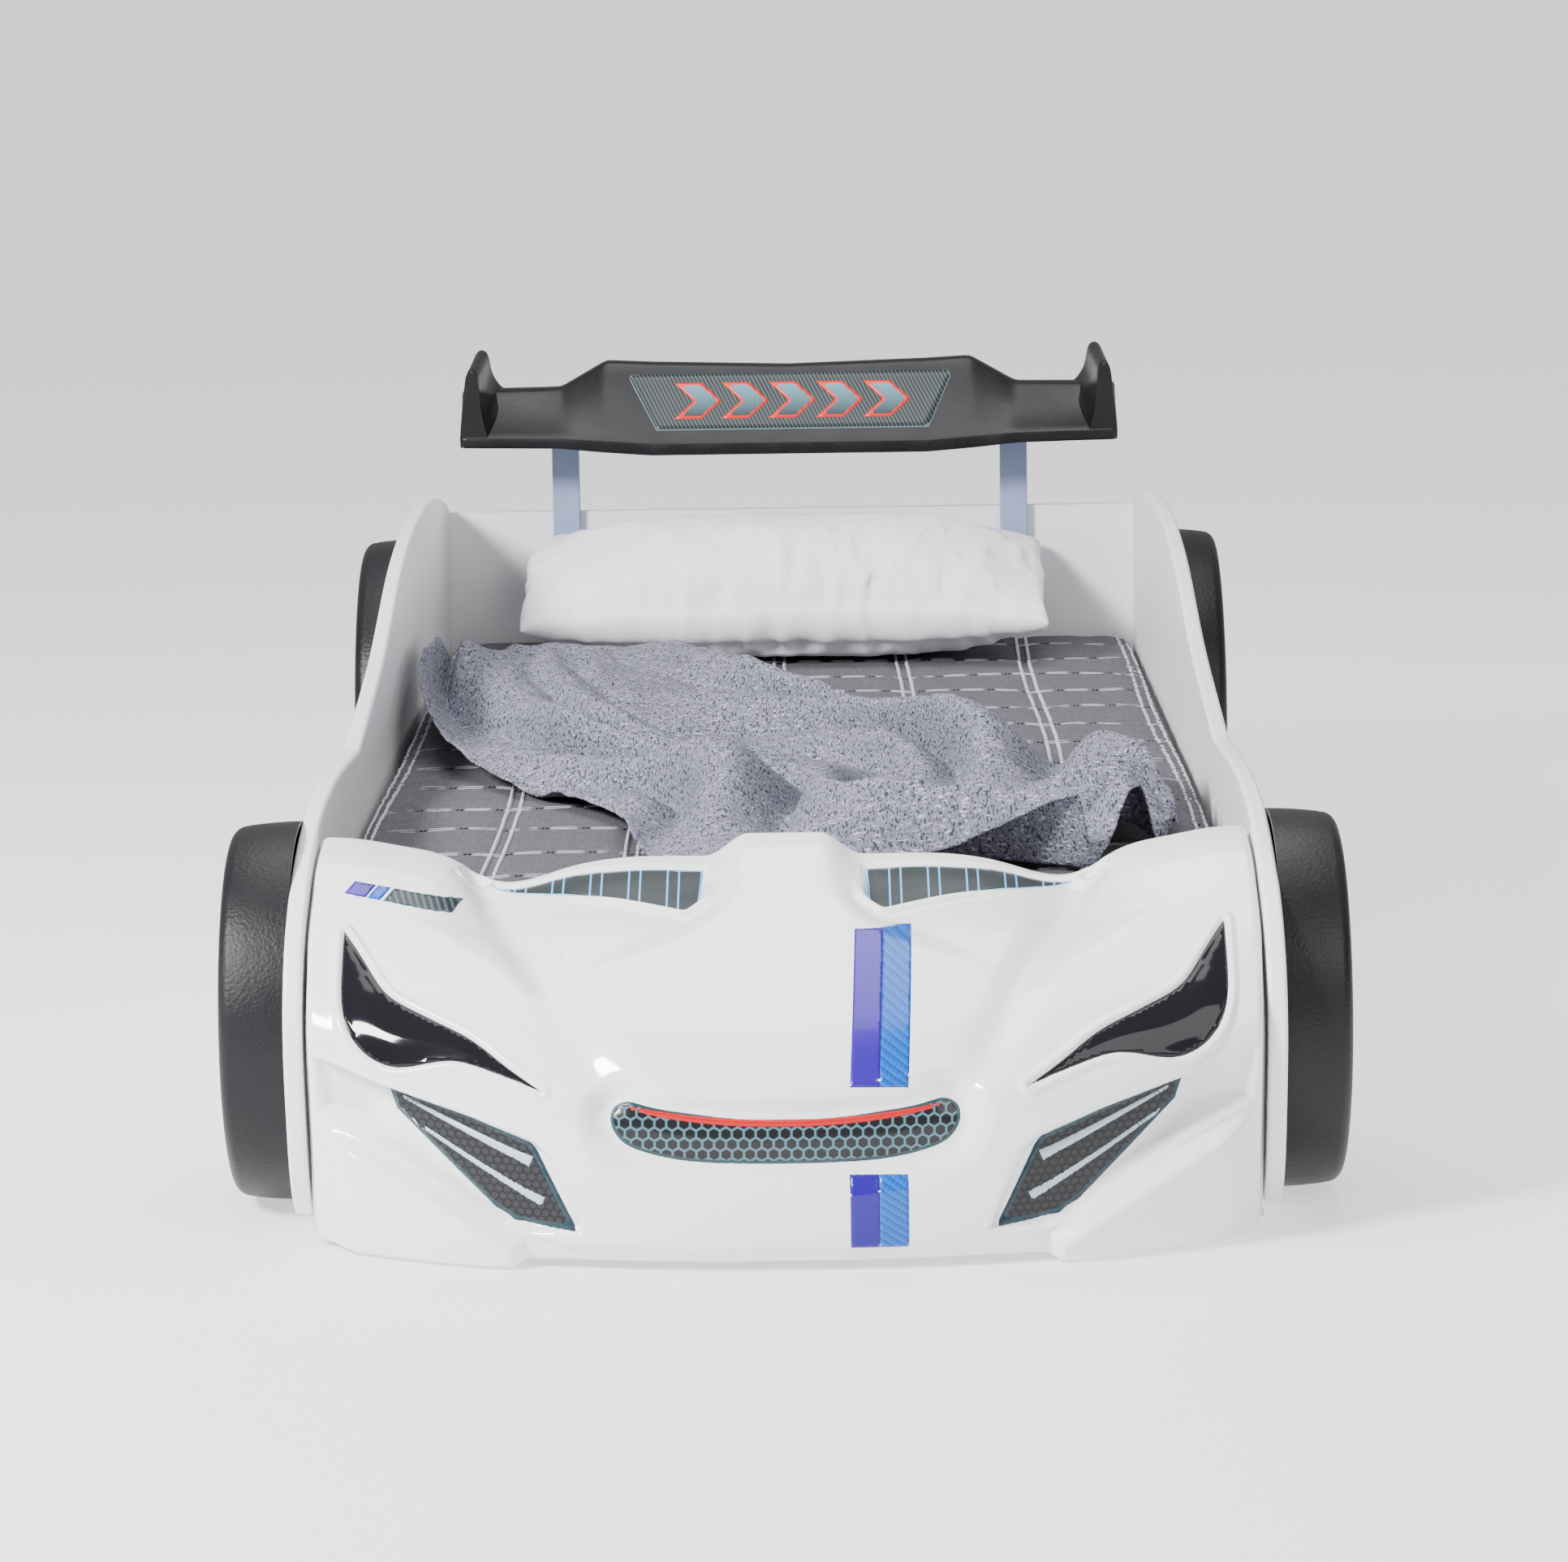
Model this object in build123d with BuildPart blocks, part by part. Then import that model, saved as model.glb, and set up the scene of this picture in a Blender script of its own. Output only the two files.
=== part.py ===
"""Race-car bed for one child: boarded frame with a moulded nose, rear wing, four wheels and its bedding.

Millimetres. +X is the car's left-hand side seen from its nose, +Y points to the headboard, +Z is up.
The origin is on the floor under the middle of the overall box. The nose points to -Y.
"""

from build123d import *
import math
import os

os.makedirs("parts", exist_ok=True)

# ---------------------------------------------------------------- driving dimensions
# Boarded frame
INNER_WIDTH = 910.0          # between the side panels
INNER_LENGTH = 1922.0        # between headboard and footboard
BOARD = 18.0                 # foil-wrapped board
PANEL_GROUND_GAP = 20.0      # side panels stand on glides this high
PANEL_EDGE_ROUND = 4.0
REAR_OVERHANG = 22.0         # side panels run on behind the headboard
HEADBOARD_TOP = 467.0
FOOTBOARD_TOP = 292.0
CROSS_BOARD_BOTTOM = 40.0
REAR_CORNER_ROUND = 38.0

# Slat base
SLAT_TOP = 140.0
SLAT_THICKNESS = 18.0
SLAT_WIDTH = 80.0
SLAT_COUNT = 13
SLAT_END_CLEARANCE = 2.0
RAIL_WIDTH = 30.0
RAIL_HEIGHT = 40.0
BEAM_WIDTH = 40.0
BEAM_HEIGHT = 60.0
LEG_OFFSET = 480.0           # centre legs, either side of the middle of the bed

# Moulded nose
NOSE_REACH = 354.0           # foremost point ahead of the footboard
NOSE_CLEARANCE = 3.0         # between the moulding's side walls and the panels
NOSE_WALL = 5.0
NOSE_ROUNDNESS = 2.4         # exponent of the plan curve between centre and sides
FILM = 1.0                   # printed resin films let into the moulding
LENS = 3.0                   # smoked headlight lenses

# Wheels: outer face, tyres with moulded treads
WHEEL_STAND_OUT = 67.0
TYRE_WALL = 4.0
TYRE_TAPER = 4.0             # tread radius lost from panel to shoulder
TYRE_SHOULDER = 13.0
FRONT_RADIUS = 185.5
REAR_RADIUS = 233.0
WHEEL_GROUND_GAP = 2.5
FRONT_AXLE_OFFSET = 3.6      # ahead of the footboard's outer face
REAR_AXLE_OFFSET = 326.9     # ahead of the headboard's face
RIM_SHARE = 0.62             # rim opening over tyre radius
SPOKES = 5

# Rear wing
WING_SPAN = 860.0
WING_FRONT = 100.0           # lower lip ahead of the posts
WING_LIP = 13.0
WING_WALL = 4.5
POST_SPACING = 594.0
POST_WIDTH = 36.0
POST_DEPTH = 15.0
POST_WALL = 1.5
POST_BOTTOM = 312.0
POST_TOP = 628.0
WING_BASE = 551.0            # underside of the lip at the middle

# Bedding
MATTRESS_WIDTH = 890.0
MATTRESS_LENGTH = 1894.0
MATTRESS_THICKNESS = 150.0
BEDSPREAD_TOP = 8.0
BEDSPREAD_SIDE = 4.0
BEDSPREAD_DROP = 70.0
BEDDING_GAP = 0.4            # air between loose pieces and what they lie on
THROW_HEIGHT = 42.0

# Fasteners and fittings
SCREW_R = 2.5
SCREW_HEAD_R = 4.5
SCREW_HEAD = 2.5
SCREW_HOLE_R = 2.6
BRACKET = 40.0
BRACKET_THICKNESS = 3.0
BRACKET_CLEARANCE = 1.0      # under the slat rails
GLIDE_LENGTH = 44.0

# ---------------------------------------------------------------- derived places
OVERALL_LENGTH = NOSE_REACH + BOARD + INNER_LENGTH + BOARD + REAR_OVERHANG
REAR_Y = OVERALL_LENGTH / 2
HEAD_Y = REAR_Y - REAR_OVERHANG - BOARD          # front face of the headboard
FOOT_INNER_Y = HEAD_Y - INNER_LENGTH             # inner face of the footboard
FOOT_Y = FOOT_INNER_Y - BOARD                    # outer face of the footboard
INNER_X = INNER_WIDTH / 2
OUTER_X = INNER_X + BOARD
WHEEL_X = OUTER_X + WHEEL_STAND_OUT
NOSE_X = INNER_X - NOSE_CLEARANCE
SLAT_BOTTOM = SLAT_TOP - SLAT_THICKNESS
MATTRESS_BOTTOM = SLAT_TOP + BEDDING_GAP
MATTRESS_TOP = MATTRESS_BOTTOM + MATTRESS_THICKNESS
BED_TOP = MATTRESS_TOP + BEDSPREAD_TOP
BED_FOOT_Y = FOOT_INNER_Y + 2.0
MATTRESS_Y = BED_FOOT_Y + BEDSPREAD_SIDE + MATTRESS_LENGTH / 2
POST_FRONT_Y = HEAD_Y - POST_DEPTH
POST_X = POST_SPACING / 2
SIDES = (("left", -1), ("right", 1))


def save(builder, name):
    """Label a finished piece and write it as one STEP file."""
    builder.part.label = name
    export_step(builder.part, f"parts/{name}.step")


def across(x):
    """Plane square to X at x, drawn with local x along +Y and local y along +Z."""
    return Plane(origin=(x, 0, 0), x_dir=(0, 1, 0), z_dir=(1, 0, 0))


def facing(y):
    """Plane square to Y at y, drawn with local x along +X and local y along +Z, facing the nose."""
    return Plane(origin=(0, y, 0), x_dir=(1, 0, 0), z_dir=(0, -1, 0))


def screw_along(place, rotation, length):
    """One pan-head screw: the head's underside is at place and the shank runs down local -Z."""
    with Locations(Location(place, rotation)):
        Cylinder(SCREW_R, length, align=(Align.CENTER, Align.CENTER, Align.MAX))
        Cylinder(SCREW_HEAD_R, SCREW_HEAD, align=(Align.CENTER, Align.CENTER, Align.MIN))


def bore_along(place, rotation, length, radius):
    """Cut one round hole from place down local -Z."""
    with Locations(Location(place, rotation)):
        Cylinder(radius, length, align=(Align.CENTER, Align.CENTER, Align.MAX), mode=Mode.SUBTRACT)


TO_LEFT, TO_RIGHT = (0, 90, 0), (0, -90, 0)      # local -Z runs to -X, to +X
TO_REAR, TO_NOSE = (90, 0, 0), (-90, 0, 0)       # local -Z runs to +Y, to -Y
DOWN = (0, 0, 0)


def outward(side):
    """Rotation that points a screw's shank away from the middle, on that side."""
    return TO_LEFT if side < 0 else TO_RIGHT


def inward(side):
    """Rotation that points a screw's shank towards the middle, on that side."""
    return TO_RIGHT if side < 0 else TO_LEFT


# ---------------------------------------------------------------- fastener places
SLAT_PITCH = INNER_LENGTH / SLAT_COUNT
RAIL_SCREW_YS = [FOOT_INNER_Y + SLAT_PITCH * i for i in range(1, SLAT_COUNT, 2)]    # between two slats
RAIL_SCREW_Z = SLAT_BOTTOM - RAIL_HEIGHT / 2
SLAT_YS = [FOOT_INNER_Y + SLAT_PITCH * (i + 0.5) for i in range(SLAT_COUNT)]
SLAT_SCREW_X = INNER_X - RAIL_WIDTH / 2
BRACKET_Z = SLAT_BOTTOM - RAIL_HEIGHT - BRACKET_CLEARANCE - BRACKET
BRACKET_SCREW_ZS = (BRACKET_Z + 10.0, BRACKET_Z + 28.0)
BRACKET_LEG_SCREW = 24.0                         # from the corner to the screw, along each leg
POST_SCREW_ZS = (POST_BOTTOM + 22.0, POST_BOTTOM + 62.0)
WING_SCREW_ZS = (POST_TOP - 42.0, POST_TOP - 16.0)
HOOD_SCREWS = ((60.0, 250.0), (130.0, 60.0), (60.0, 110.0))   # (ahead of the footboard, height)
SHORT_SCREW = 14.0
LONG_SCREW = 40.0
AXLES = {"front": (FOOT_Y - FRONT_AXLE_OFFSET, FRONT_RADIUS),
         "rear": (HEAD_Y - REAR_AXLE_OFFSET, REAR_RADIUS)}
HUB_RADIUS = 44.0
LUG_CIRCLE = 27.0
LUGS = 4
LUG_SCREW = 12.0             # depth of the wheel screws in the panel
HUB_FACE_X = WHEEL_X - 20.0


def axle_height(radius):
    """Height of a wheel's centre over the floor."""
    return radius + WHEEL_GROUND_GAP


def lug_places(axle, side, x=HUB_FACE_X):
    """Places of one wheel's screws, on its hub's face or on another plane square to its axle."""
    y, radius = AXLES[axle]
    turns = [math.radians(45 + 360 / LUGS * i) for i in range(LUGS)]
    return [(side * x, y + LUG_CIRCLE * math.cos(t), axle_height(radius) + LUG_CIRCLE * math.sin(t))
            for t in turns]


# ---------------------------------------------------------------- side panels
def panel_outline(plane):
    """Side of the car: nose, front wing, dip behind it, arch over the rear wheel, rounded rear corner."""
    nose = [(FOOT_Y - ahead, z) for ahead, z in (
        (160, PANEL_GROUND_GAP), (200, 62), (222, 131), (231, 195), (213, 258), (172, 302),
        (116, 333), (40, 359), (-100, 380), (-240, 383))]
    arch = [(HEAD_Y - ahead, z) for ahead, z in ((690, 505), (440, 518), (190, 507), (0, 478))]
    # The dip lies between the front wing and the arch, however far apart they are.
    dip_start, dip_length = nose[-1][0], arch[0][0] - nose[-1][0]
    dip = [(dip_start + share * dip_length, z) for share, z in (
        (0.1584, 376), (0.2475, 371), (0.4059, 394), (0.6376, 432), (0.8416, 481))]
    nose += dip[:2]
    arch = dip[2:] + arch
    rear_top = (HEAD_Y + BOARD + REAR_OVERHANG, 462)
    with BuildSketch(plane) as outline:
        with BuildLine():
            Spline(*nose)
            Spline(nose[-1], *arch)
            Polyline(arch[-1], rear_top, (rear_top[0], PANEL_GROUND_GAP), nose[0])
        make_face()
        fillet(vertices().group_by(Axis.X)[-1].sort_by(Axis.Y)[-1], REAR_CORNER_ROUND)
    return outline.sketch


with BuildPart() as side_panel_left:
    left = -1
    extrude(panel_outline(across(left * INNER_X)), amount=BOARD, dir=(left, 0, 0))
    for face in (0, -1):
        fillet(side_panel_left.edges().group_by(Axis.X)[face], PANEL_EDGE_ROUND)
    for y in RAIL_SCREW_YS:
        bore_along((left * INNER_X, y, RAIL_SCREW_Z), outward(left), LONG_SCREW - RAIL_WIDTH, SCREW_R)
    for y in (HEAD_Y - BRACKET_LEG_SCREW, FOOT_INNER_Y + BRACKET_LEG_SCREW):
        for z in BRACKET_SCREW_ZS:
            bore_along((left * INNER_X, y, z), outward(left), SHORT_SCREW - BRACKET_THICKNESS, SCREW_R)
    for ahead, z in HOOD_SCREWS:
        bore_along((left * INNER_X, FOOT_Y - ahead, z), outward(left),
                   SHORT_SCREW - NOSE_WALL - NOSE_CLEARANCE, SCREW_R)
    for axle in AXLES:
        for place in lug_places(axle, left, OUTER_X):
            bore_along(place, inward(left), LUG_SCREW, SCREW_R)
save(side_panel_left, "side_panel_left")

with BuildPart() as side_panel_right:
    add(side_panel_left.part.mirror(Plane.YZ))
save(side_panel_right, "side_panel_right")


# ---------------------------------------------------------------- headboard and footboard
def cross_board(front_y, top, screw_direction, screw_face_y):
    """Board between the side panels, with the bracket screws' pilot holes."""
    with Locations((0, front_y + BOARD / 2, (top + CROSS_BOARD_BOTTOM) / 2)):
        Box(INNER_WIDTH, BOARD, top - CROSS_BOARD_BOTTOM)
    for side in (-1, 1):
        for z in BRACKET_SCREW_ZS:
            bore_along((side * (INNER_X - BRACKET_LEG_SCREW), screw_face_y, z), screw_direction,
                       SHORT_SCREW - BRACKET_THICKNESS, SCREW_R)


with BuildPart() as headboard:
    cross_board(HEAD_Y, HEADBOARD_TOP, TO_REAR, HEAD_Y)
    for side in (-1, 1):
        for z in POST_SCREW_ZS:
            bore_along((side * POST_X, HEAD_Y, z), TO_REAR, LONG_SCREW - 10 - POST_DEPTH, SCREW_R)
save(headboard, "headboard")

with BuildPart() as footboard:
    cross_board(FOOT_Y, FOOTBOARD_TOP, TO_NOSE, FOOT_INNER_Y)
save(footboard, "footboard")

with BuildPart() as corner_brackets:
    for side in (-1, 1):
        for corner_y, into in ((HEAD_Y, -1), (FOOT_INNER_Y, 1)):
            with BuildSketch(Plane.XY.offset(BRACKET_Z)):
                with BuildLine():
                    legs = Polyline((side * (INNER_X - BRACKET), corner_y), (side * INNER_X, corner_y),
                                    (side * INNER_X, corner_y + into * BRACKET))
                    offset(legs, BRACKET_THICKNESS, side=Side.LEFT if side * into > 0 else Side.RIGHT)
                make_face()
            extrude(amount=BRACKET)
            for z in BRACKET_SCREW_ZS:
                bore_along((side * (INNER_X - BRACKET_THICKNESS - 1), corner_y + into * BRACKET_LEG_SCREW, z),
                           outward(side), BRACKET_THICKNESS + 2, SCREW_R)
                bore_along((side * (INNER_X - BRACKET_LEG_SCREW), corner_y + into * (BRACKET_THICKNESS + 1), z),
                           TO_REAR if into < 0 else TO_NOSE, BRACKET_THICKNESS + 2, SCREW_R)
save(corner_brackets, "corner_brackets")

with BuildPart() as bracket_screws:
    for side in (-1, 1):
        for corner_y, into in ((HEAD_Y, -1), (FOOT_INNER_Y, 1)):
            for z in BRACKET_SCREW_ZS:
                screw_along((side * (INNER_X - BRACKET_THICKNESS), corner_y + into * BRACKET_LEG_SCREW, z),
                            outward(side), SHORT_SCREW)
                screw_along((side * (INNER_X - BRACKET_LEG_SCREW), corner_y + into * BRACKET_THICKNESS, z),
                            TO_REAR if into < 0 else TO_NOSE, SHORT_SCREW)
save(bracket_screws, "bracket_screws")

with BuildPart() as floor_glides:
    for y in (FOOT_Y + 40, (FOOT_Y + HEAD_Y) / 2, HEAD_Y - 20):
        with Locations(*[(side * (INNER_X + BOARD / 2), y, PANEL_GROUND_GAP / 2) for side in (-1, 1)]):
            Box(BOARD - 2, GLIDE_LENGTH, PANEL_GROUND_GAP)
    fillet(floor_glides.edges().filter_by(Axis.Z), 4)
save(floor_glides, "floor_glides")

# ---------------------------------------------------------------- slat base
for name, side in SIDES:
    with BuildPart() as slat_rail:
        with Locations((side * (INNER_X - RAIL_WIDTH / 2), (HEAD_Y + FOOT_INNER_Y) / 2, RAIL_SCREW_Z)):
            Box(RAIL_WIDTH, INNER_LENGTH, RAIL_HEIGHT)
        for y in RAIL_SCREW_YS:
            bore_along((side * (INNER_X - RAIL_WIDTH), y, RAIL_SCREW_Z), outward(side), RAIL_WIDTH, SCREW_R)
        for y in SLAT_YS:
            bore_along((side * SLAT_SCREW_X, y, SLAT_BOTTOM), DOWN, LONG_SCREW - SLAT_THICKNESS, SCREW_R)
    save(slat_rail, f"slat_rail_{name}")

with BuildPart() as rail_screws:
    for side in (-1, 1):
        for y in RAIL_SCREW_YS:
            screw_along((side * (INNER_X - RAIL_WIDTH), y, RAIL_SCREW_Z), outward(side), LONG_SCREW)
save(rail_screws, "rail_screws")

with BuildPart() as centre_beam:
    with Locations((0, (HEAD_Y + FOOT_INNER_Y) / 2, SLAT_BOTTOM - BEAM_HEIGHT / 2)):
        Box(BEAM_WIDTH, INNER_LENGTH, BEAM_HEIGHT)
save(centre_beam, "centre_beam")

for name, along in (("front", -LEG_OFFSET), ("rear", LEG_OFFSET)):
    with BuildPart() as centre_leg:
        leg_height = SLAT_BOTTOM - BEAM_HEIGHT
        with Locations((0, (HEAD_Y + FOOT_INNER_Y) / 2 + along, leg_height / 2)):
            Box(BEAM_WIDTH, BEAM_WIDTH, leg_height)
        fillet(centre_leg.edges().filter_by(Axis.Z), 3)
    save(centre_leg, f"centre_leg_{name}")

for number, y in enumerate(SLAT_YS, start=1):
    with BuildPart() as slat:
        with Locations((0, y, SLAT_TOP - SLAT_THICKNESS / 2)):
            Box(INNER_WIDTH - 2 * SLAT_END_CLEARANCE, SLAT_WIDTH, SLAT_THICKNESS)
        fillet(slat.edges().filter_by(Axis.X), 3)
        with Locations(*[(side * SLAT_SCREW_X, y, SLAT_TOP) for side in (-1, 1)]):
            CounterBoreHole(SCREW_HOLE_R, SCREW_HEAD_R + 0.5, SCREW_HEAD + 0.5, SLAT_THICKNESS)
    save(slat, f"slat_{number:02d}")

with BuildPart() as slat_screws:
    for y in SLAT_YS:
        for side in (-1, 1):
            screw_along((side * SLAT_SCREW_X, y, SLAT_TOP - SCREW_HEAD - 0.5), DOWN, LONG_SCREW - SCREW_HEAD - 0.5)
save(slat_screws, "slat_screws")

# ---------------------------------------------------------------- moulded nose
# Height over the floor, reach ahead of the footboard at the side walls, reach at the middle.
NOSE_STATIONS = ((4, 200, 330), (25, 210, 342), (70, 220, 352), (120, 230, NOSE_REACH), (170, 240, 344),
                 (215, 240, 306), (260, 210, 238), (300, 168, 155), (332, 105, 75), (352, 50, 25), (360, 0, 0))
NOSE_TOP = NOSE_STATIONS[-1][0]
BLEND_HEIGHT = 250.0         # below this the top edge's wave has no effect
# Half-breadth over the half-width of the moulding, height of its rear top edge there.
TOP_EDGE = ((0.0, 360), (0.09, 359), (0.19, 338), (0.35, 337), (0.63, 318), (0.73, 341), (0.86, 356), (1.0, 361))


def top_edge(share):
    """Height of the nose's rear top edge at a share of its half-width."""
    for (low, low_z), (high, high_z) in zip(TOP_EDGE, TOP_EDGE[1:]):
        if share <= high:
            return low_z + (high_z - low_z) * (share - low) / (high - low)
    return TOP_EDGE[-1][1]


def nose_section(x, inset):
    """Points (y, z) down the nose's front at x, set in by inset square to the curve."""
    share = min(abs(x) / NOSE_X, 1.0)
    bulge = 1 - share ** NOSE_ROUNDNESS
    lift = (top_edge(share) - BLEND_HEIGHT) / (NOSE_TOP - BLEND_HEIGHT)
    curve = []
    for z, side_reach, middle_reach in NOSE_STATIONS:
        height = z if z <= BLEND_HEIGHT else BLEND_HEIGHT + (z - BLEND_HEIGHT) * lift
        curve.append((FOOT_Y - side_reach - (middle_reach - side_reach) * bulge, height))
    moved = []
    for i, (y, z) in enumerate(curve):
        (y0, z0), (y1, z1) = curve[max(i - 1, 0)], curve[min(i + 1, len(curve) - 1)]
        run = math.hypot(y1 - y0, z1 - z0)
        moved.append((y + inset * (z1 - z0) / run, z - inset * (y1 - y0) / run))
    return moved


def nose_solid(half_width, inset, past):
    """Solid under the nose's surface, set in by inset and run past the open back and bottom by past."""
    with BuildPart() as solid:
        for share in NOSE_SHARES:
            front = nose_section(share * half_width, inset)
            front[0] = (front[0][0], NOSE_STATIONS[0][0] - past)
            front[-1] = (FOOT_Y + past, front[-1][1])
            with BuildSketch(across(share * half_width)):
                with BuildLine():
                    Spline(*front)
                    Polyline(front[-1], (front[-1][0], front[0][1]), front[0])
                make_face()
        loft()
    return solid.part


HALF_SHARES = (0.1, 0.19, 0.35, 0.5, 0.63, 0.74, 0.86, 1)
NOSE_SHARES = tuple(-share for share in reversed(HALF_SHARES)) + (0,) + HALF_SHARES
nose_form = nose_solid(NOSE_X, 0, 0)
nose_cavity = nose_solid(NOSE_X - NOSE_WALL, NOSE_WALL, 1)


def nose_skin(depth):
    """Layer of the moulding's front, as deep as a film or lens that is let into it."""
    with BuildPart() as skin:
        add(nose_form)
        add(nose_form.moved(Location((0, depth, -depth))), mode=Mode.SUBTRACT)
    return skin.part


FILM_SKIN = nose_skin(FILM)
LENS_SKIN = nose_skin(LENS)


def let_in(skin):
    """Push the pending outline through the nose and keep what lies in the skin."""
    extrude(amount=-(NOSE_REACH + 10))
    add(skin, mode=Mode.INTERSECT)


NOSE_FACE = facing(FOOT_Y - NOSE_REACH - 5)
let_ins = []

for name, side in SIDES:
    with BuildPart() as headlight:
        with BuildSketch(NOSE_FACE):
            with BuildLine():
                upper = [(side * x, z) for x, z in ((417, 297), (374, 248), (346, 236), (295, 215), (225, 172))]
                lower = [(side * x, z) for x, z in ((225, 172), (275, 189), (326, 194), (368, 189), (406, 218),
                                                     (414, 256), (417, 297))]
                Polyline(*upper[:2])
                Spline(*upper[1:])
                Spline(*lower)
            make_face()
        let_in(LENS_SKIN)
    save(headlight, f"headlight_{name}")
    let_ins.append(headlight)

for name, side in SIDES:
    with BuildPart() as intake_panel:
        with BuildSketch(NOSE_FACE):
            with BuildLine():
                Polyline(*[(side * x, z) for x, z in ((385, 168), (294, 143), (237, 123), (216, 79), (198, 39),
                                                      (256, 43), (316, 89), (376, 140))], close=True)
            make_face()
        let_in(FILM_SKIN)
    save(intake_panel, f"intake_panel_{name}")
    let_ins.append(intake_panel)

GRILLE_HALF = 158.0
GRILLE_TOP, GRILLE_SAG, GRILLE_BOTTOM = 167.0, 148.0, 104.0
TRIM_DEPTH = 7.0
with BuildPart() as grille_panel:
    with BuildSketch(NOSE_FACE):
        with BuildLine():
            brow = ThreePointArc((-GRILLE_HALF, GRILLE_TOP), (0, GRILLE_SAG - TRIM_DEPTH), (GRILLE_HALF, GRILLE_TOP))
            Spline(brow @ 1, (GRILLE_HALF + 4, 150), (GRILLE_HALF - 16, 120), (0, GRILLE_BOTTOM),
                   (16 - GRILLE_HALF, 120), (-GRILLE_HALF - 4, 150), brow @ 0)
        make_face()
    let_in(FILM_SKIN)
save(grille_panel, "grille_panel")

with BuildPart() as grille_trim:
    with BuildSketch(NOSE_FACE):
        with BuildLine():
            ThreePointArc((-GRILLE_HALF, GRILLE_TOP), (0, GRILLE_SAG), (GRILLE_HALF, GRILLE_TOP))
            ThreePointArc((-GRILLE_HALF, GRILLE_TOP), (0, GRILLE_SAG - TRIM_DEPTH), (GRILLE_HALF, GRILLE_TOP))
        make_face()
    let_in(FILM_SKIN)
save(grille_trim, "grille_trim")
let_ins += [grille_panel, grille_trim]

for name, side in SIDES:
    with BuildPart() as vent:
        with BuildSketch(NOSE_FACE):
            with BuildLine():
                Polyline(*[(side * x, z) for x, z in ((276, 315), (224, 321), (150, 329), (78, 330), (80, 308),
                                                      (96, 302), (145, 308), (190, 311), (228, 313))], close=True)
            make_face()
        let_in(FILM_SKIN)
    save(vent, f"vent_{name}")
    let_ins.append(vent)

# Two stripes run down the nose to the right of the middle, broken by the grille.
STRIPE_WIDTH = 27.0
STRIPE_RUNS = (((94, 293), (86, 171)), ((86, 97), (86, 22)))     # seam between them: top and end of each run
for name, side in (("violet", -1), ("blue", 1)):
    with BuildPart() as stripe:
        for (top_x, top_z), (end_x, end_z) in STRIPE_RUNS:
            with BuildSketch(NOSE_FACE):
                with BuildLine():
                    Polyline((top_x, top_z), (top_x + side * STRIPE_WIDTH, top_z),
                             (end_x + side * STRIPE_WIDTH, end_z), (end_x, end_z), close=True)
                make_face()
        let_in(FILM_SKIN)
    save(stripe, f"stripe_{name}")
    let_ins.append(stripe)

with BuildPart() as side_badge:
    for start, width in ((-419, 20), (-395, 12), (-379, 60)):
        with BuildSketch(NOSE_FACE):
            with BuildLine():
                drop = (start + 419) * 0.21
                Polyline((start, 327 - drop), (start + 8, 334 - drop), (start + width + 8, 334 - drop - width * 0.2),
                         (start + width, 327 - drop - width * 0.2), close=True)
            make_face()
    let_in(FILM_SKIN)
save(side_badge, "side_badge")
let_ins.append(side_badge)

with BuildPart() as hood_shell:
    add(nose_form)
    add(nose_cavity, mode=Mode.SUBTRACT)
    for piece in let_ins:
        add(piece.part, mode=Mode.SUBTRACT)
    for side in (-1, 1):
        for ahead, z in HOOD_SCREWS:
            bore_along((side * (NOSE_X - NOSE_WALL - 1), FOOT_Y - ahead, z), outward(side), NOSE_WALL + 2, SCREW_R)
save(hood_shell, "hood_shell")

with BuildPart() as hood_screws:
    for side in (-1, 1):
        for ahead, z in HOOD_SCREWS:
            screw_along((side * (NOSE_X - NOSE_WALL), FOOT_Y - ahead, z), outward(side), SHORT_SCREW)
save(hood_screws, "hood_screws")

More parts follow.
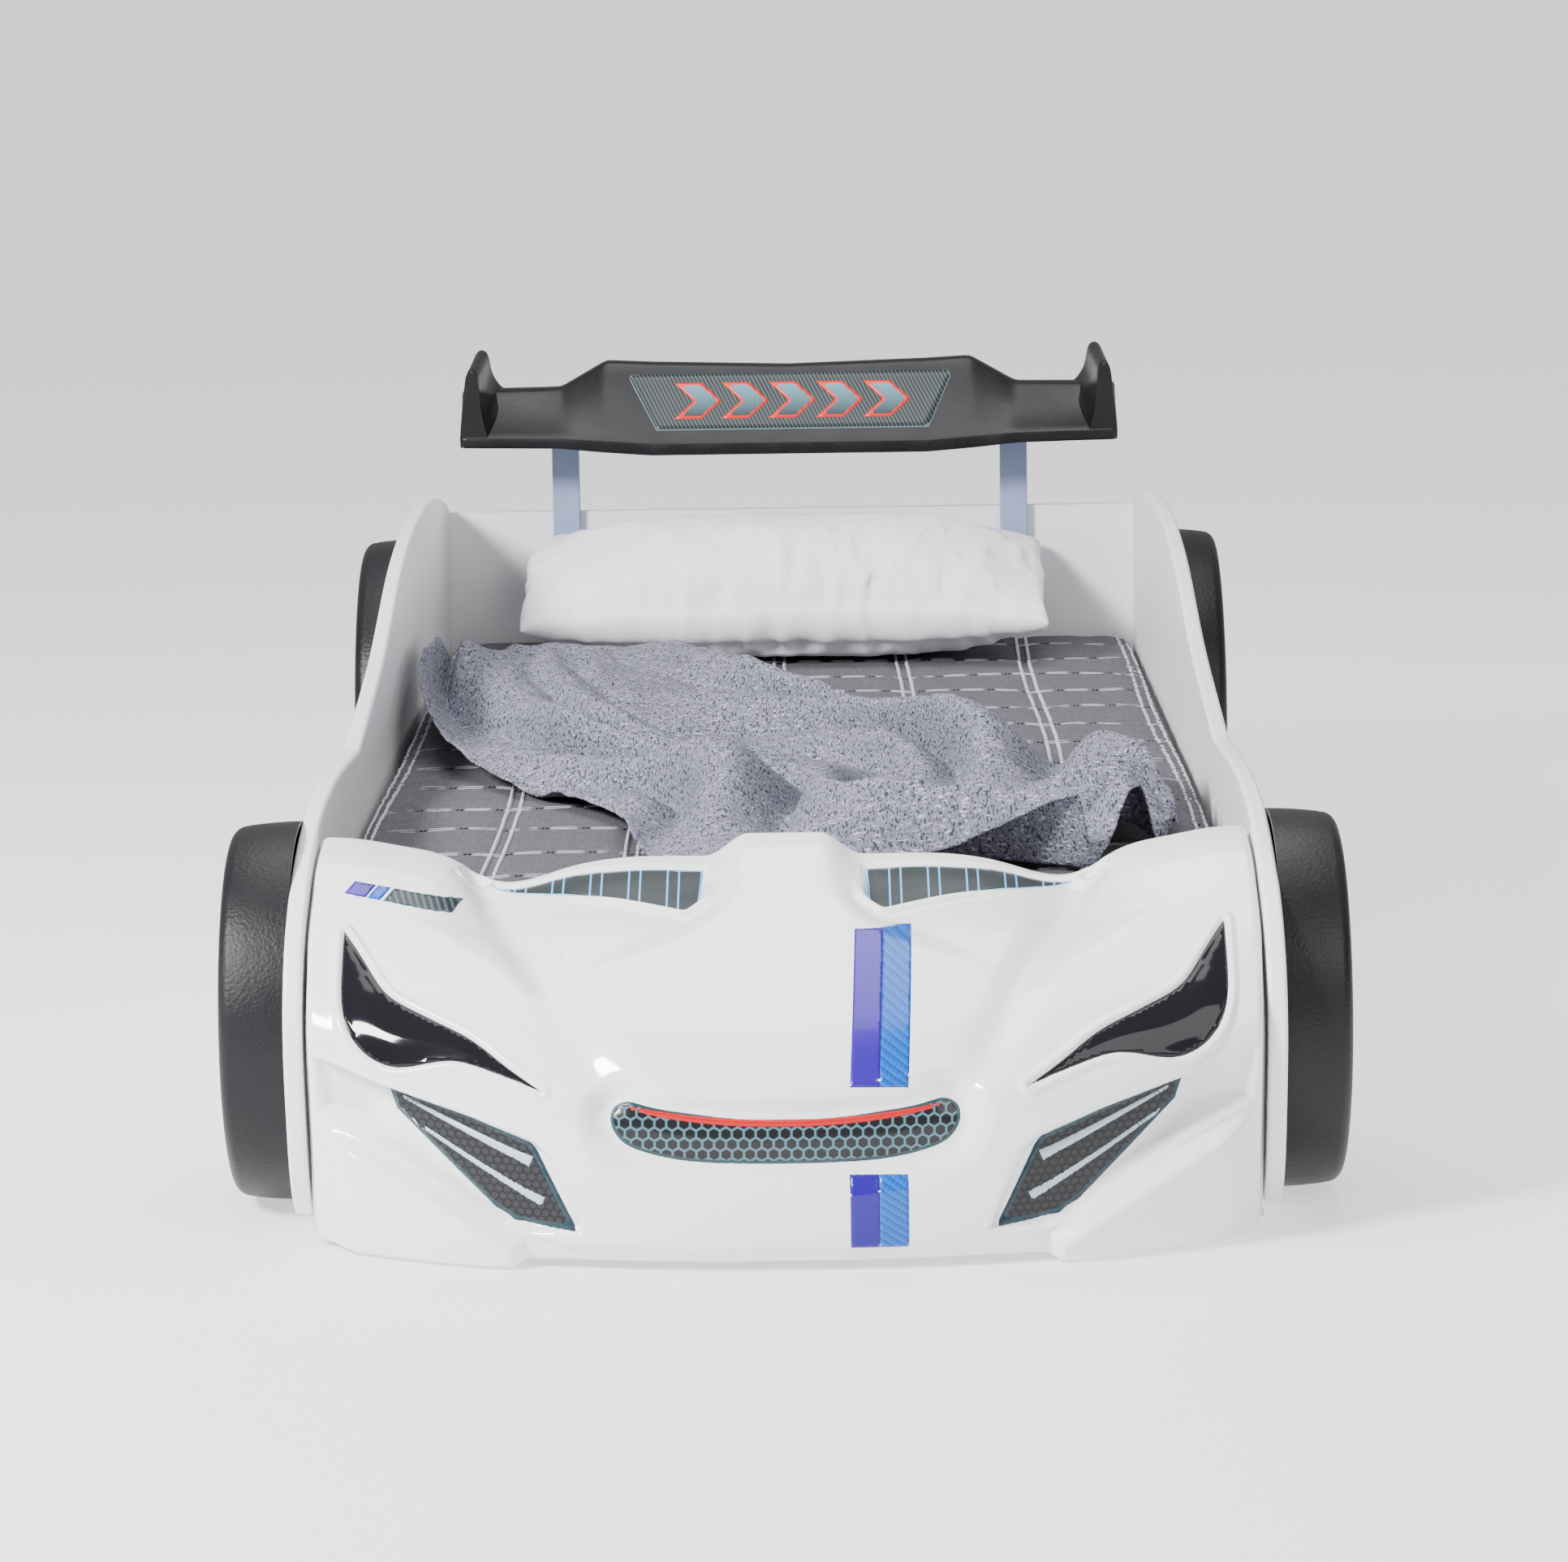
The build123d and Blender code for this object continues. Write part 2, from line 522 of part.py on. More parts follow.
# ---------------------------------------------------------------- wheels
for axle, (axle_y, radius) in AXLES.items():
    hub = Axis((0, axle_y, axle_height(radius)), (1, 0, 0))
    plane = Plane(origin=(0, axle_y, axle_height(radius)), x_dir=(1, 0, 0), z_dir=(0, -1, 0))
    rim_radius = radius * RIM_SHARE
    shoulder = radius - TYRE_TAPER
    for name, side in SIDES:
        with BuildPart() as tyre:
            with BuildSketch(plane):
                with BuildLine():
                    outer = Line((side * OUTER_X, radius), (side * (WHEEL_X - TYRE_SHOULDER), shoulder))
                    RadiusArc(outer @ 1, (side * WHEEL_X, shoulder - TYRE_SHOULDER), side * TYRE_SHOULDER)
                    inner_r = TYRE_SHOULDER - TYRE_WALL
                    inner = Polyline((side * WHEEL_X, shoulder - TYRE_SHOULDER), (side * WHEEL_X, rim_radius),
                                     (side * (WHEEL_X - TYRE_WALL), rim_radius),
                                     (side * (WHEEL_X - TYRE_WALL), shoulder - TYRE_SHOULDER))
                    RadiusArc((side * (WHEEL_X - TYRE_SHOULDER), shoulder - TYRE_WALL), inner @ 1, side * inner_r)
                    Polyline((side * (WHEEL_X - TYRE_SHOULDER), shoulder - TYRE_WALL),
                             (side * OUTER_X, radius - TYRE_WALL), (side * OUTER_X, radius))
                make_face()
            revolve(axis=hub)
        save(tyre, f"tyre_{axle}_{name}")

        with BuildPart() as rim:
            flange = rim_radius + 8
            back = WHEEL_X - TYRE_WALL
            with BuildSketch(plane):
                with BuildLine():
                    Polyline(*[(side * x, r) for x, r in (
                        (OUTER_X, 0), (HUB_FACE_X, 0), (HUB_FACE_X, HUB_RADIUS), (WHEEL_X - 26, HUB_RADIUS + 6),
                        (WHEEL_X - 14, rim_radius - 10), (back, rim_radius - 4), (back, flange),
                        (back - 4, flange), (back - 4, rim_radius), (OUTER_X, rim_radius),
                        (OUTER_X, rim_radius - 4), (WHEEL_X - 26, rim_radius - 14), (WHEEL_X - 36, HUB_RADIUS + 6),
                        (WHEEL_X - 40, HUB_RADIUS), (OUTER_X, HUB_RADIUS))], close=True)
                make_face()
            revolve(axis=hub)
            window = Plane(origin=(side * (WHEEL_X + 1), axle_y, axle_height(radius)), x_dir=(0, 1, 0),
                           z_dir=(side, 0, 0))
            with BuildSketch(window):
                near, far = HUB_RADIUS + 10, rim_radius - 18
                with PolarLocations(0, SPOKES, start_angle=90 + 180 / SPOKES):
                    Polygon((near, -near * 0.3), (far, -far * 0.42), (far, far * 0.42), (near, near * 0.3),
                            align=None)
                fillet(vertices(), 8)
            extrude(amount=-44, mode=Mode.SUBTRACT)
            for place in lug_places(axle, side):
                bore_along(place, inward(side), HUB_FACE_X - OUTER_X + 1, SCREW_R)
        save(rim, f"rim_{axle}_{name}")

with BuildPart() as wheel_screws:
    for name, side in SIDES:
        for axle in AXLES:
            for place in lug_places(axle, side):
                screw_along(place, inward(side), HUB_FACE_X - OUTER_X + LUG_SCREW)
save(wheel_screws, "wheel_screws")

# ---------------------------------------------------------------- wing and its posts
# Half-breadth, rise of the underside over the middle's, height of the top edge over the middle's underside.
WING_STATIONS = ((0, 0, 111), (192, 0, 117), (243, 5, 119), (300, 11, 84), (372, 12, 84), (430, 13, 84))
WING_REACH = POST_FRONT_Y - WING_FRONT
FIN_TOP = 138.0


def wing_solid(stations, inset):
    """Ruled body of the wing: upright lip, sloping face, flat top, upright back, underside."""
    with BuildPart() as solid:
        for x, rise, top in stations:
            low, high = WING_BASE + rise + inset, WING_BASE + top - inset
            back = POST_FRONT_Y + inset
            with BuildSketch(across(x)):
                with BuildLine():
                    Polyline((WING_REACH + inset, low), (WING_REACH + inset, low + WING_LIP - inset),
                             (POST_FRONT_Y - 20, high), (back, high), (back, low + 18),
                             (WING_REACH + 25, low), close=True)
                make_face()
        loft(ruled=True)
    return solid.part


MIRRORED = [(-x, rise, top) for x, rise, top in reversed(WING_STATIONS[1:])]
with BuildPart() as wing_form:
    add(wing_solid(MIRRORED + list(WING_STATIONS), 0))
    half = WING_SPAN / 2
    for side in (-1, 1):
        with BuildSketch(facing(WING_REACH)):
            with BuildLine():
                Polyline(*[(side * (half - inboard), WING_BASE + z) for inboard, z in (
                    (0, 13), (0, 26), (16, 130), (26, FIN_TOP), (35, 129), (45, 96), (58, 84), (58, 12))], close=True)
            make_face()
            fillet(vertices().group_by(Axis.Y)[-1], 6)
        extrude(amount=-WING_FRONT)

with BuildPart() as wing_panel:
    with BuildSketch(facing(WING_REACH - 5)):
        with BuildLine():
            Polyline((-216, WING_BASE + 104), (221, WING_BASE + 106), (184, WING_BASE + 32), (-173, WING_BASE + 32),
                     close=True)
        make_face()
    extrude(amount=-WING_FRONT)
    add(wing_form.part, mode=Mode.INTERSECT)
    add(wing_form.part.moved(Location((0, FILM, -FILM))), mode=Mode.SUBTRACT)
save(wing_panel, "wing_panel")

with BuildPart() as wing:
    add(wing_form.part)
    add(wing_panel.part, mode=Mode.SUBTRACT)
    add(wing_solid(MIRRORED[3:] + list(WING_STATIONS[:3]), WING_WALL), mode=Mode.SUBTRACT)
    for side in (-1, 1):
        for z in WING_SCREW_ZS:
            bore_along((side * POST_X, POST_FRONT_Y, z), TO_NOSE, LONG_SCREW - POST_DEPTH - 10, SCREW_R)
save(wing, "wing")

for name, side in SIDES:
    with BuildPart() as wing_post:
        with BuildSketch(Plane.XY.offset(POST_BOTTOM)):
            with Locations((side * POST_X, HEAD_Y - POST_DEPTH / 2)):
                RectangleRounded(POST_WIDTH, POST_DEPTH, 2)
                RectangleRounded(POST_WIDTH - 2 * POST_WALL, POST_DEPTH - 2 * POST_WALL, 1, mode=Mode.SUBTRACT)
        extrude(amount=POST_TOP - POST_BOTTOM)
        for z in POST_SCREW_ZS + WING_SCREW_ZS:
            bore_along((side * POST_X, POST_FRONT_Y - 1, z), TO_REAR, POST_DEPTH + 2, SCREW_R)
    save(wing_post, f"wing_post_{name}")

with BuildPart() as post_screws:
    for name, side in SIDES:
        for z in POST_SCREW_ZS:
            screw_along((side * POST_X, POST_FRONT_Y, z), TO_REAR, LONG_SCREW - 10)
save(post_screws, "post_screws")

with BuildPart() as wing_screws:
    for name, side in SIDES:
        for z in WING_SCREW_ZS:
            screw_along((side * POST_X, HEAD_Y, z), TO_NOSE, LONG_SCREW - 10)
save(wing_screws, "wing_screws")

# ---------------------------------------------------------------- bedding
with BuildPart() as mattress:
    with Locations((0, MATTRESS_Y, (MATTRESS_BOTTOM + MATTRESS_TOP) / 2)):
        Box(MATTRESS_WIDTH, MATTRESS_LENGTH, MATTRESS_THICKNESS)
    fillet(mattress.edges().filter_by(Axis.Z), 20)
    fillet(mattress.faces().sort_by(Axis.Z)[-1].edges(), 10)
save(mattress, "mattress")

with BuildPart() as bedspread:
    with Locations((0, MATTRESS_Y, BED_TOP - BEDSPREAD_DROP / 2)):
        Box(MATTRESS_WIDTH + 2 * BEDSPREAD_SIDE, MATTRESS_LENGTH + 2 * BEDSPREAD_SIDE, BEDSPREAD_DROP)
    fillet(bedspread.edges().filter_by(Axis.Z), 22)
    fillet(bedspread.faces().sort_by(Axis.Z)[-1].edges(), 12)
    add(mattress.part, mode=Mode.SUBTRACT)
save(bedspread, "bedspread")

PILLOW_BOTTOM = BED_TOP + BEDDING_GAP
PILLOW_BACK = HEAD_Y - POST_DEPTH - 5
with BuildPart() as pillow:
    for x, share in ((-350, 0.5), (-270, 0.9), (-8, 1.0), (254, 0.9), (334, 0.5)):
        middle_y, middle_z = PILLOW_BACK - 150, PILLOW_BOTTOM + 60
        with BuildSketch(across(x)):
            with BuildLine():
                Polyline(*[(middle_y + (y + PILLOW_BACK - middle_y) * share,
                            middle_z + (z + PILLOW_BOTTOM - middle_z) * share)
                           for y, z in ((-270, 0), (-312, 30), (-262, 98), (-150, 148), (-50, 160), (0, 125),
                                        (0, 35), (-40, 0))], close=True)
            make_face()
            fillet(vertices(), 24 * share)
    loft()
    split(bisect_by=Plane.XY.offset(PILLOW_BOTTOM))
save(pillow, "pillow")

with BuildPart() as throw:
    with BuildSketch(Plane.XY.offset(BED_TOP + BEDDING_GAP)):
        with BuildLine():
            Spline(*[(x, HEAD_Y - ahead) for x, ahead in (
                (-425, 640), (-330, 470), (-170, 470), (-60, 690), (100, 900), (250, 1200), (350, 1300),
                (415, 1520), (425, 1720), (300, 1880), (80, 1880), (-110, 1850), (-165, 1600), (-230, 1430),
                (-340, 1260), (-420, 960))], periodic=True)
        make_face()
    extrude(amount=THROW_HEIGHT)
    fillet(throw.faces().sort_by(Axis.Z)[-1].edges(), 12)
save(throw, "throw")
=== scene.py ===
"""Looks of the race-car bed: moulded nose, films, wheels, wing, boards and bedding round the fixed frame.

Sizes are millimetres in the classes and metres in the meshes. +Y points to the headboard and +Z is up.
"""

import logging
import math
from dataclasses import dataclass
from enum import Enum

import bpy
import numpy as np
from mathutils import Matrix, Vector, geometry, noise


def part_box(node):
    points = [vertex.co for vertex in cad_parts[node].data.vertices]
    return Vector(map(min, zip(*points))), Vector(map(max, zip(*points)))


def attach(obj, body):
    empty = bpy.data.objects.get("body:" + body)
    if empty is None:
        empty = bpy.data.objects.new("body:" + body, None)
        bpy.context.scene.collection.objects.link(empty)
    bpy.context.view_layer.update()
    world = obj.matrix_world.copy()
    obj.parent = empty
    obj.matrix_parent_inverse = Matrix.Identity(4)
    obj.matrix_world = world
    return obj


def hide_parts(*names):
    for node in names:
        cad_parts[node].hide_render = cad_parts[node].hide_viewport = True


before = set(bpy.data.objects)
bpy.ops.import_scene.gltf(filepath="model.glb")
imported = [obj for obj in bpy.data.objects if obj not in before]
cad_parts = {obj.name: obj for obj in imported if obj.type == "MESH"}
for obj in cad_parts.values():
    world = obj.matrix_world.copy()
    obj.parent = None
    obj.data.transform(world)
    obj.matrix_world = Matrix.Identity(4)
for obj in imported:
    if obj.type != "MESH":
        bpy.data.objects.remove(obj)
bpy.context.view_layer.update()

LOG = logging.getLogger("bed")
MM = 0.001
Array = np.ndarray
Outline = list[tuple[float, float]]


class Side(Enum):
    """Which side of the bed, seen from the nose; the value is the sign of X."""

    LEFT = -1
    RIGHT = 1


# ---------------------------------------------------------------- small tools
def linear(code: str) -> tuple[float, float, float, float]:
    """Turn an sRGB hex colour into linear RGBA.

    Args:
        code: Colour such as "#f2f3f5".

    Returns:
        Linear red, green, blue and an alpha of 1.
    """
    channels = [int(code[i:i + 2], 16) / 255 for i in (1, 3, 5)]
    return (*[c / 12.92 if c <= 0.04045 else ((c + 0.055) / 1.055) ** 2.4 for c in channels], 1.0)


def add_node(tree: bpy.types.NodeTree, kind: str, inputs: dict, **settings) -> bpy.types.Node:
    """Add one node with its settings and links.

    Args:
        tree: Node tree of a material or the world.
        kind: Blender's type name for the node.
        inputs: Socket name or number to a value, a socket, or a node whose first output is meant.
        settings: Properties of the node.

    Returns:
        The new node.
    """
    node = tree.nodes.new(kind)
    for name, value in settings.items():
        setattr(node, name, value)
    for key, value in inputs.items():
        if isinstance(value, bpy.types.Node):
            value = value.outputs[0]
        if isinstance(value, bpy.types.NodeSocket):
            tree.links.new(value, node.inputs[key])
        else:
            node.inputs[key].default_value = value
    return node


def smooth_step(start: float, end: float, values: Array) -> Array:
    """Ease from 0 at start to 1 at end; start may be the larger.

    Args:
        start: Where the result is 0.
        end: Where the result is 1.
        values: Values to ease.

    Returns:
        Results between 0 and 1.
    """
    share = np.clip((values - start) / (end - start), 0, 1)
    return share * share * (3 - 2 * share)


def cubic(knots: Array, values: Array, at: Array) -> Array:
    """Natural cubic spline through rows of values.

    Args:
        knots: Rising parameters of the rows.
        values: One row for each knot.
        at: Parameters to evaluate.

    Returns:
        One row for each parameter.
    """
    gaps, count = np.diff(knots), len(knots)
    system, right = np.eye(count), np.zeros_like(values, dtype=float)
    for i in range(1, count - 1):
        system[i, i - 1:i + 2] = gaps[i - 1], 2 * (gaps[i - 1] + gaps[i]), gaps[i]
        right[i] = 6 * ((values[i + 1] - values[i]) / gaps[i] - (values[i] - values[i - 1]) / gaps[i - 1])
    bend = np.linalg.solve(system, right)
    i = np.clip(np.searchsorted(knots, at) - 1, 0, count - 2)
    gap = gaps[i][:, None]
    low, high = (knots[i + 1] - at)[:, None], (at - knots[i])[:, None]
    return (bend[i] * low ** 3 + bend[i + 1] * high ** 3) / (6 * gap) \
        + (values[i] / gap - bend[i] * gap / 6) * low + (values[i + 1] / gap - bend[i + 1] * gap / 6) * high


def curve_through(points: Outline, step: float) -> Outline:
    """Smooth open curve through points.

    Args:
        points: Points that the curve passes.
        step: Distance between the results.

    Returns:
        Points along the curve, ends included.
    """
    rows = np.array(points, float)
    knots = np.r_[0, np.cumsum(np.linalg.norm(np.diff(rows, axis=0), axis=1))]
    return [tuple(row) for row in cubic(knots, rows, np.linspace(0, knots[-1], int(knots[-1] / step) + 2))]


def densify(outline: Outline, step: float) -> Array:
    """Put points along a closed outline's edges.

    Args:
        outline: Corners in order.
        step: Largest distance between the results.

    Returns:
        Points round the outline, each once.
    """
    rows, result = np.array(outline, float), []
    for start, end in zip(rows, np.roll(rows, -1, axis=0)):
        count = max(1, int(np.ceil(np.linalg.norm(end - start) / step)))
        result += [start + (end - start) * i / count for i in range(count)]
    return np.array(result)


def signed_distance(points: Array, outline: Array) -> Array:
    """Distance from points to a closed outline in the plane.

    Args:
        points: N rows of two coordinates.
        outline: M corners in order.

    Returns:
        N distances, negative inside.
    """
    nearest, inside = np.full(len(points), 1e9), np.zeros(len(points), bool)
    px, py = points[:, 0], points[:, 1]
    for (ax, ay), (bx, by) in zip(outline, np.roll(outline, -1, axis=0)):
        run_x, run_y = bx - ax, by - ay
        share = np.clip(((px - ax) * run_x + (py - ay) * run_y) / (run_x ** 2 + run_y ** 2 + 1e-12), 0, 1)
        nearest = np.minimum(nearest, np.hypot(px - ax - share * run_x, py - ay - share * run_y))
        if ay != by:
            inside ^= ((ay > py) != (by > py)) & (px < run_x * (py - ay) / (by - ay) + ax)
    return np.where(inside, -nearest, nearest)


def line_distance(points: Array, line: Array) -> Array:
    """Distance from points to an open polyline in the plane.

    Args:
        points: N rows of two coordinates.
        line: M points in order.

    Returns:
        N distances.
    """
    nearest = np.full(len(points), 1e9)
    for start, end in zip(line, line[1:]):
        run = end - start
        share = np.clip((points - start) @ run / (run @ run), 0, 1)
        nearest = np.minimum(nearest, np.linalg.norm(points - start - share[:, None] * run, axis=1))
    return nearest


def rough(points: Array, scale: Vector | tuple, seed: float, octaves: int = 3) -> Array:
    """Smooth noise at points.

    Args:
        points: N rows of three coordinates.
        scale: Size of the noise's lumps along each axis, in the points' unit.
        seed: Shift that picks another pattern.
        octaves: How many finer layers are added.

    Returns:
        N values of about -1 to 1.
    """
    rows = np.asarray(points) / np.asarray(scale) + seed
    return np.array([noise.fractal(Vector(row), 1.0, 2.0, octaves) for row in rows])


def grid_faces(count: int, width: int, wrap_rows: bool = False, wrap_columns: bool = False) -> list:
    """Quads over a grid of points stored row by row.

    Args:
        count: Number of rows.
        width: Number of points in a row.
        wrap_rows: Join the last row to the first.
        wrap_columns: Join each row's last point to its first.

    Returns:
        Faces as tuples of point numbers.
    """
    faces = []
    for i in range(count if wrap_rows else count - 1):
        for j in range(width if wrap_columns else width - 1):
            up, over = (i + 1) % count, (j + 1) % width
            faces.append((i * width + j, i * width + over, up * width + over, up * width + j))
    return faces


def closed_faces(count: int, width: int) -> list:
    """Faces of a closed tube: its rings joined, and a cap at each end.

    Args:
        count: Number of rings.
        width: Number of points in a ring.

    Returns:
        Faces as tuples of point numbers.
    """
    caps = [tuple(range(width))[::-1], tuple(range((count - 1) * width, count * width))]
    return grid_faces(count, width, wrap_columns=True) + caps


def turned(faces: list) -> list:
    """The same faces looking the other way."""
    return [tuple(reversed(face)) for face in faces]


def make_mesh(name: str, points: Array, faces: list, crease: float = 40.0) -> bpy.types.Object:
    """Make a shaded mesh object from points in millimetres.

    Args:
        name: Name of the piece.
        points: N rows of three coordinates, in millimetres.
        faces: Faces as tuples of point numbers.
        crease: Angle in degrees past which an edge stays sharp.

    Returns:
        The object, at the frame's origin.
    """
    mesh = bpy.data.meshes.new(name)
    mesh.from_pydata((np.asarray(points, float) * MM).tolist(), [], faces)
    mesh.polygons.foreach_set("use_smooth", [True] * len(mesh.polygons))
    mesh.set_sharp_from_angle(angle=math.radians(crease))
    made = bpy.data.objects.new(name, mesh)
    bpy.context.scene.collection.objects.link(made)
    return made


def thicken(piece: bpy.types.Object, thickness: float, offset: float = -1.0) -> None:
    """Give a surface its thickness.

    Args:
        piece: Object whose mesh is an open surface.
        thickness: Thickness in millimetres.
        offset: -1 grows behind the surface, 1 in front of it.
    """
    wall = piece.modifiers.new("wall", "SOLIDIFY")
    wall.thickness, wall.offset = thickness * MM, offset


def fit(piece: bpy.types.Object, body: str, finish: "Finish", nodes: tuple = ()) -> None:
    """Dress a new piece and join it to the frame.

    Args:
        piece: The piece, in place.
        body: Body that it moves with.
        finish: Its finish.
        nodes: CAD nodes that it stands for.
    """
    piece.data.materials.append(finish.material())
    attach(piece, body)
    if nodes:
        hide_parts(*nodes)
    LOG.info("%s: %d points", piece.name, len(piece.data.vertices))


def capsules(starts: Array, ends: Array, radius: float, sides: int = 6) -> tuple[Array, list]:
    """Plump closed stitches between pairs of points.

    Args:
        starts: N points.
        ends: N points.
        radius: Thread's half-width.
        sides: Points round a stitch.

    Returns:
        Points and faces of all of the stitches.
    """
    along = ends - starts
    length = np.linalg.norm(along, axis=1)[:, None]
    along = along / length
    beside = np.cross(along, (0, 0, 1))
    beside /= np.linalg.norm(beside, axis=1)[:, None]
    above = np.cross(beside, along)
    rings = ((0.0, 0.35), (0.12, 0.85), (0.5, 1.0), (0.88, 0.85), (1.0, 0.35))
    turns = np.arange(sides) * 2 * np.pi / sides
    points = np.stack([starts[:, None] + along[:, None] * (length * share)[:, None]
                       + radius * size * (beside[:, None] * np.cos(turns)[None, :, None]
                                          + above[:, None] * np.sin(turns)[None, :, None])
                       for share, size in rings], axis=1)
    count, faces = len(rings) * sides, []
    pattern = closed_faces(len(rings), sides)
    for i in range(len(starts)):
        faces += [tuple(n + i * count for n in face) for face in pattern]
    return points.reshape(-1, 3), faces


# ---------------------------------------------------------------- finishes
@dataclass(frozen=True)
class Finish:
    """One real stuff and how its surface was made; it makes one material."""

    name: str
    colour: str
    roughness: float = 0.4
    metallic: float = 0.0
    ior: float = 1.5
    coat: float = 0.0
    sheen: float = 0.0
    shine: float = 0.5           # specular level

    def material(self) -> bpy.types.Material:
        """The finish's material, made the first time."""
        found = bpy.data.materials.get(self.name)
        if found:
            return found
        made = bpy.data.materials.new(self.name)
        made.use_nodes = True
        tree = made.node_tree
        tree.nodes.clear()
        inputs = {"Base Color": linear(self.colour), "Roughness": self.roughness, "Metallic": self.metallic,
                  "IOR": self.ior, "Specular IOR Level": self.shine, "Coat Weight": self.coat, "Coat Roughness": 0.04,
                  "Sheen Weight": self.sheen, "Sheen Roughness": 0.5}
        inputs.update(self.pattern(tree))
        shader = add_node(tree, "ShaderNodeBsdfPrincipled", inputs)
        add_node(tree, "ShaderNodeOutputMaterial", {"Surface": shader})
        return made

    def place(self, tree: bpy.types.NodeTree, scale: tuple = (1.0, 1.0, 1.0)) -> bpy.types.Node:
        """Place on the object in millimetres over scale.

        Args:
            tree: The material's nodes.
            scale: Millimetres that one unit of the pattern takes along X, Y and Z.

        Returns:
            Node whose first output is the place.
        """
        where = add_node(tree, "ShaderNodeTexCoord", {})
        return add_node(tree, "ShaderNodeVectorMath",
                        {0: where.outputs["Object"], 1: tuple(1 / (MM * s) for s in scale)}, operation="MULTIPLY")

    def pattern(self, tree: bpy.types.NodeTree) -> dict:
        """Shader inputs that vary over the surface.

        Args:
            tree: The material's nodes.

        Returns:
            Shader socket names to nodes or sockets.
        """
        return {}


@dataclass(frozen=True)
class NoisyFinish(Finish):
    """A finish with fine relief and a little unevenness of colour."""

    grain: tuple = (4.0, 4.0, 4.0)
    depth: float = 0.05
    second_colour: str = ""
    mottle: tuple = (60.0, 60.0, 60.0)
    uneven: float = 0.05

    def pattern(self, tree: bpy.types.NodeTree) -> dict:
        """Relief from fine noise, colour and roughness from broad noise."""
        fine = add_node(tree, "ShaderNodeTexNoise", {"Vector": self.place(tree, self.grain), "Scale": 1.0,
                                                     "Detail": 3.0})
        broad = add_node(tree, "ShaderNodeTexNoise", {"Vector": self.place(tree, self.mottle), "Scale": 1.0,
                                                      "Detail": 4.0})
        bump = add_node(tree, "ShaderNodeBump", {"Height": fine, "Distance": self.depth * MM, "Strength": 1.0})
        colour = add_node(tree, "ShaderNodeMix", {0: broad, 6: linear(self.colour),
                                                  7: linear(self.second_colour or self.colour)}, data_type="RGBA")
        dull = add_node(tree, "ShaderNodeMapRange", {0: broad, 3: self.roughness - self.uneven,
                                                     4: self.roughness + self.uneven})
        return {"Normal": bump, "Base Color": colour.outputs[2], "Roughness": dull}


@dataclass(frozen=True)
class GrainedPlastic(Finish):
    """Plastic from a leather-grained mould: cells with soft valleys between them, and worn, shinier crowns."""

    cell: float = 3.2
    depth: float = 0.35
    worn_colour: str = "#16161a"

    def pattern(self, tree: bpy.types.NodeTree) -> dict:
        """Leather cells under a fine pebble."""
        place = self.place(tree, (self.cell,) * 3)
        bend = add_node(tree, "ShaderNodeTexNoise", {"Vector": place, "Scale": 0.5, "Detail": 2.0})
        bent = add_node(tree, "ShaderNodeVectorMath", {0: place, 1: bend.outputs[1]}, operation="ADD")
        cells = add_node(tree, "ShaderNodeTexVoronoi", {"Vector": bent, "Scale": 1.0},
                         feature="SMOOTH_F1")
        pebble = add_node(tree, "ShaderNodeTexNoise", {"Vector": place, "Scale": 3.0, "Detail": 2.0})
        height = add_node(tree, "ShaderNodeMath", {0: pebble, 1: 0.4, 2: cells}, operation="MULTIPLY_ADD")
        bump = add_node(tree, "ShaderNodeBump", {"Height": height, "Distance": self.depth * MM, "Strength": 1.0},
                        invert=True)
        wear = add_node(tree, "ShaderNodeTexNoise", {"Vector": place, "Scale": 0.03, "Detail": 5.0})
        dull = add_node(tree, "ShaderNodeMapRange", {0: wear, 1: 0.3, 2: 0.7, 3: self.roughness - 0.08,
                                                     4: self.roughness + 0.1})
        tint = add_node(tree, "ShaderNodeMix", {0: wear, 6: linear(self.colour), 7: linear(self.worn_colour)},
                        data_type="RGBA")
        return {"Normal": bump, "Roughness": dull, "Base Color": tint.outputs[2]}


@dataclass(frozen=True)
class Pine(Finish):
    """Planed pine: long growth bands darker than the wood between, with fine pores along the grain."""

    late_wood: str = "#b98650"
    band: float = 9.0

    def pattern(self, tree: bpy.types.NodeTree) -> dict:
        """Bands stretched along the board, with pores."""
        place = self.place(tree, (self.band * 30, self.band, self.band))
        rings = add_node(tree, "ShaderNodeTexNoise", {"Vector": place, "Scale": 1.0, "Detail": 3.0,
                                                      "Distortion": 0.4})
        bands = add_node(tree, "ShaderNodeMath", {0: rings, 1: 14.0}, operation="MULTIPLY")
        wave = add_node(tree, "ShaderNodeMath", {0: bands, 1: 1.0}, operation="PINGPONG")
        pores = add_node(tree, "ShaderNodeTexNoise", {"Vector": self.place(tree, (14.0, 0.7, 0.7)), "Scale": 1.0})
        shade = add_node(tree, "ShaderNodeMath", {0: wave, 1: 0.7, 2: pores}, operation="MULTIPLY_ADD")
        strong = add_node(tree, "ShaderNodeMapRange", {0: shade, 1: 0.4, 2: 1.2})
        colour = add_node(tree, "ShaderNodeMix", {0: strong, 6: linear(self.colour), 7: linear(self.late_wood)},
                          data_type="RGBA")
        bump = add_node(tree, "ShaderNodeBump", {"Height": shade, "Distance": 0.12 * MM, "Strength": 1.0})
        return {"Base Color": colour.outputs[2], "Normal": bump}


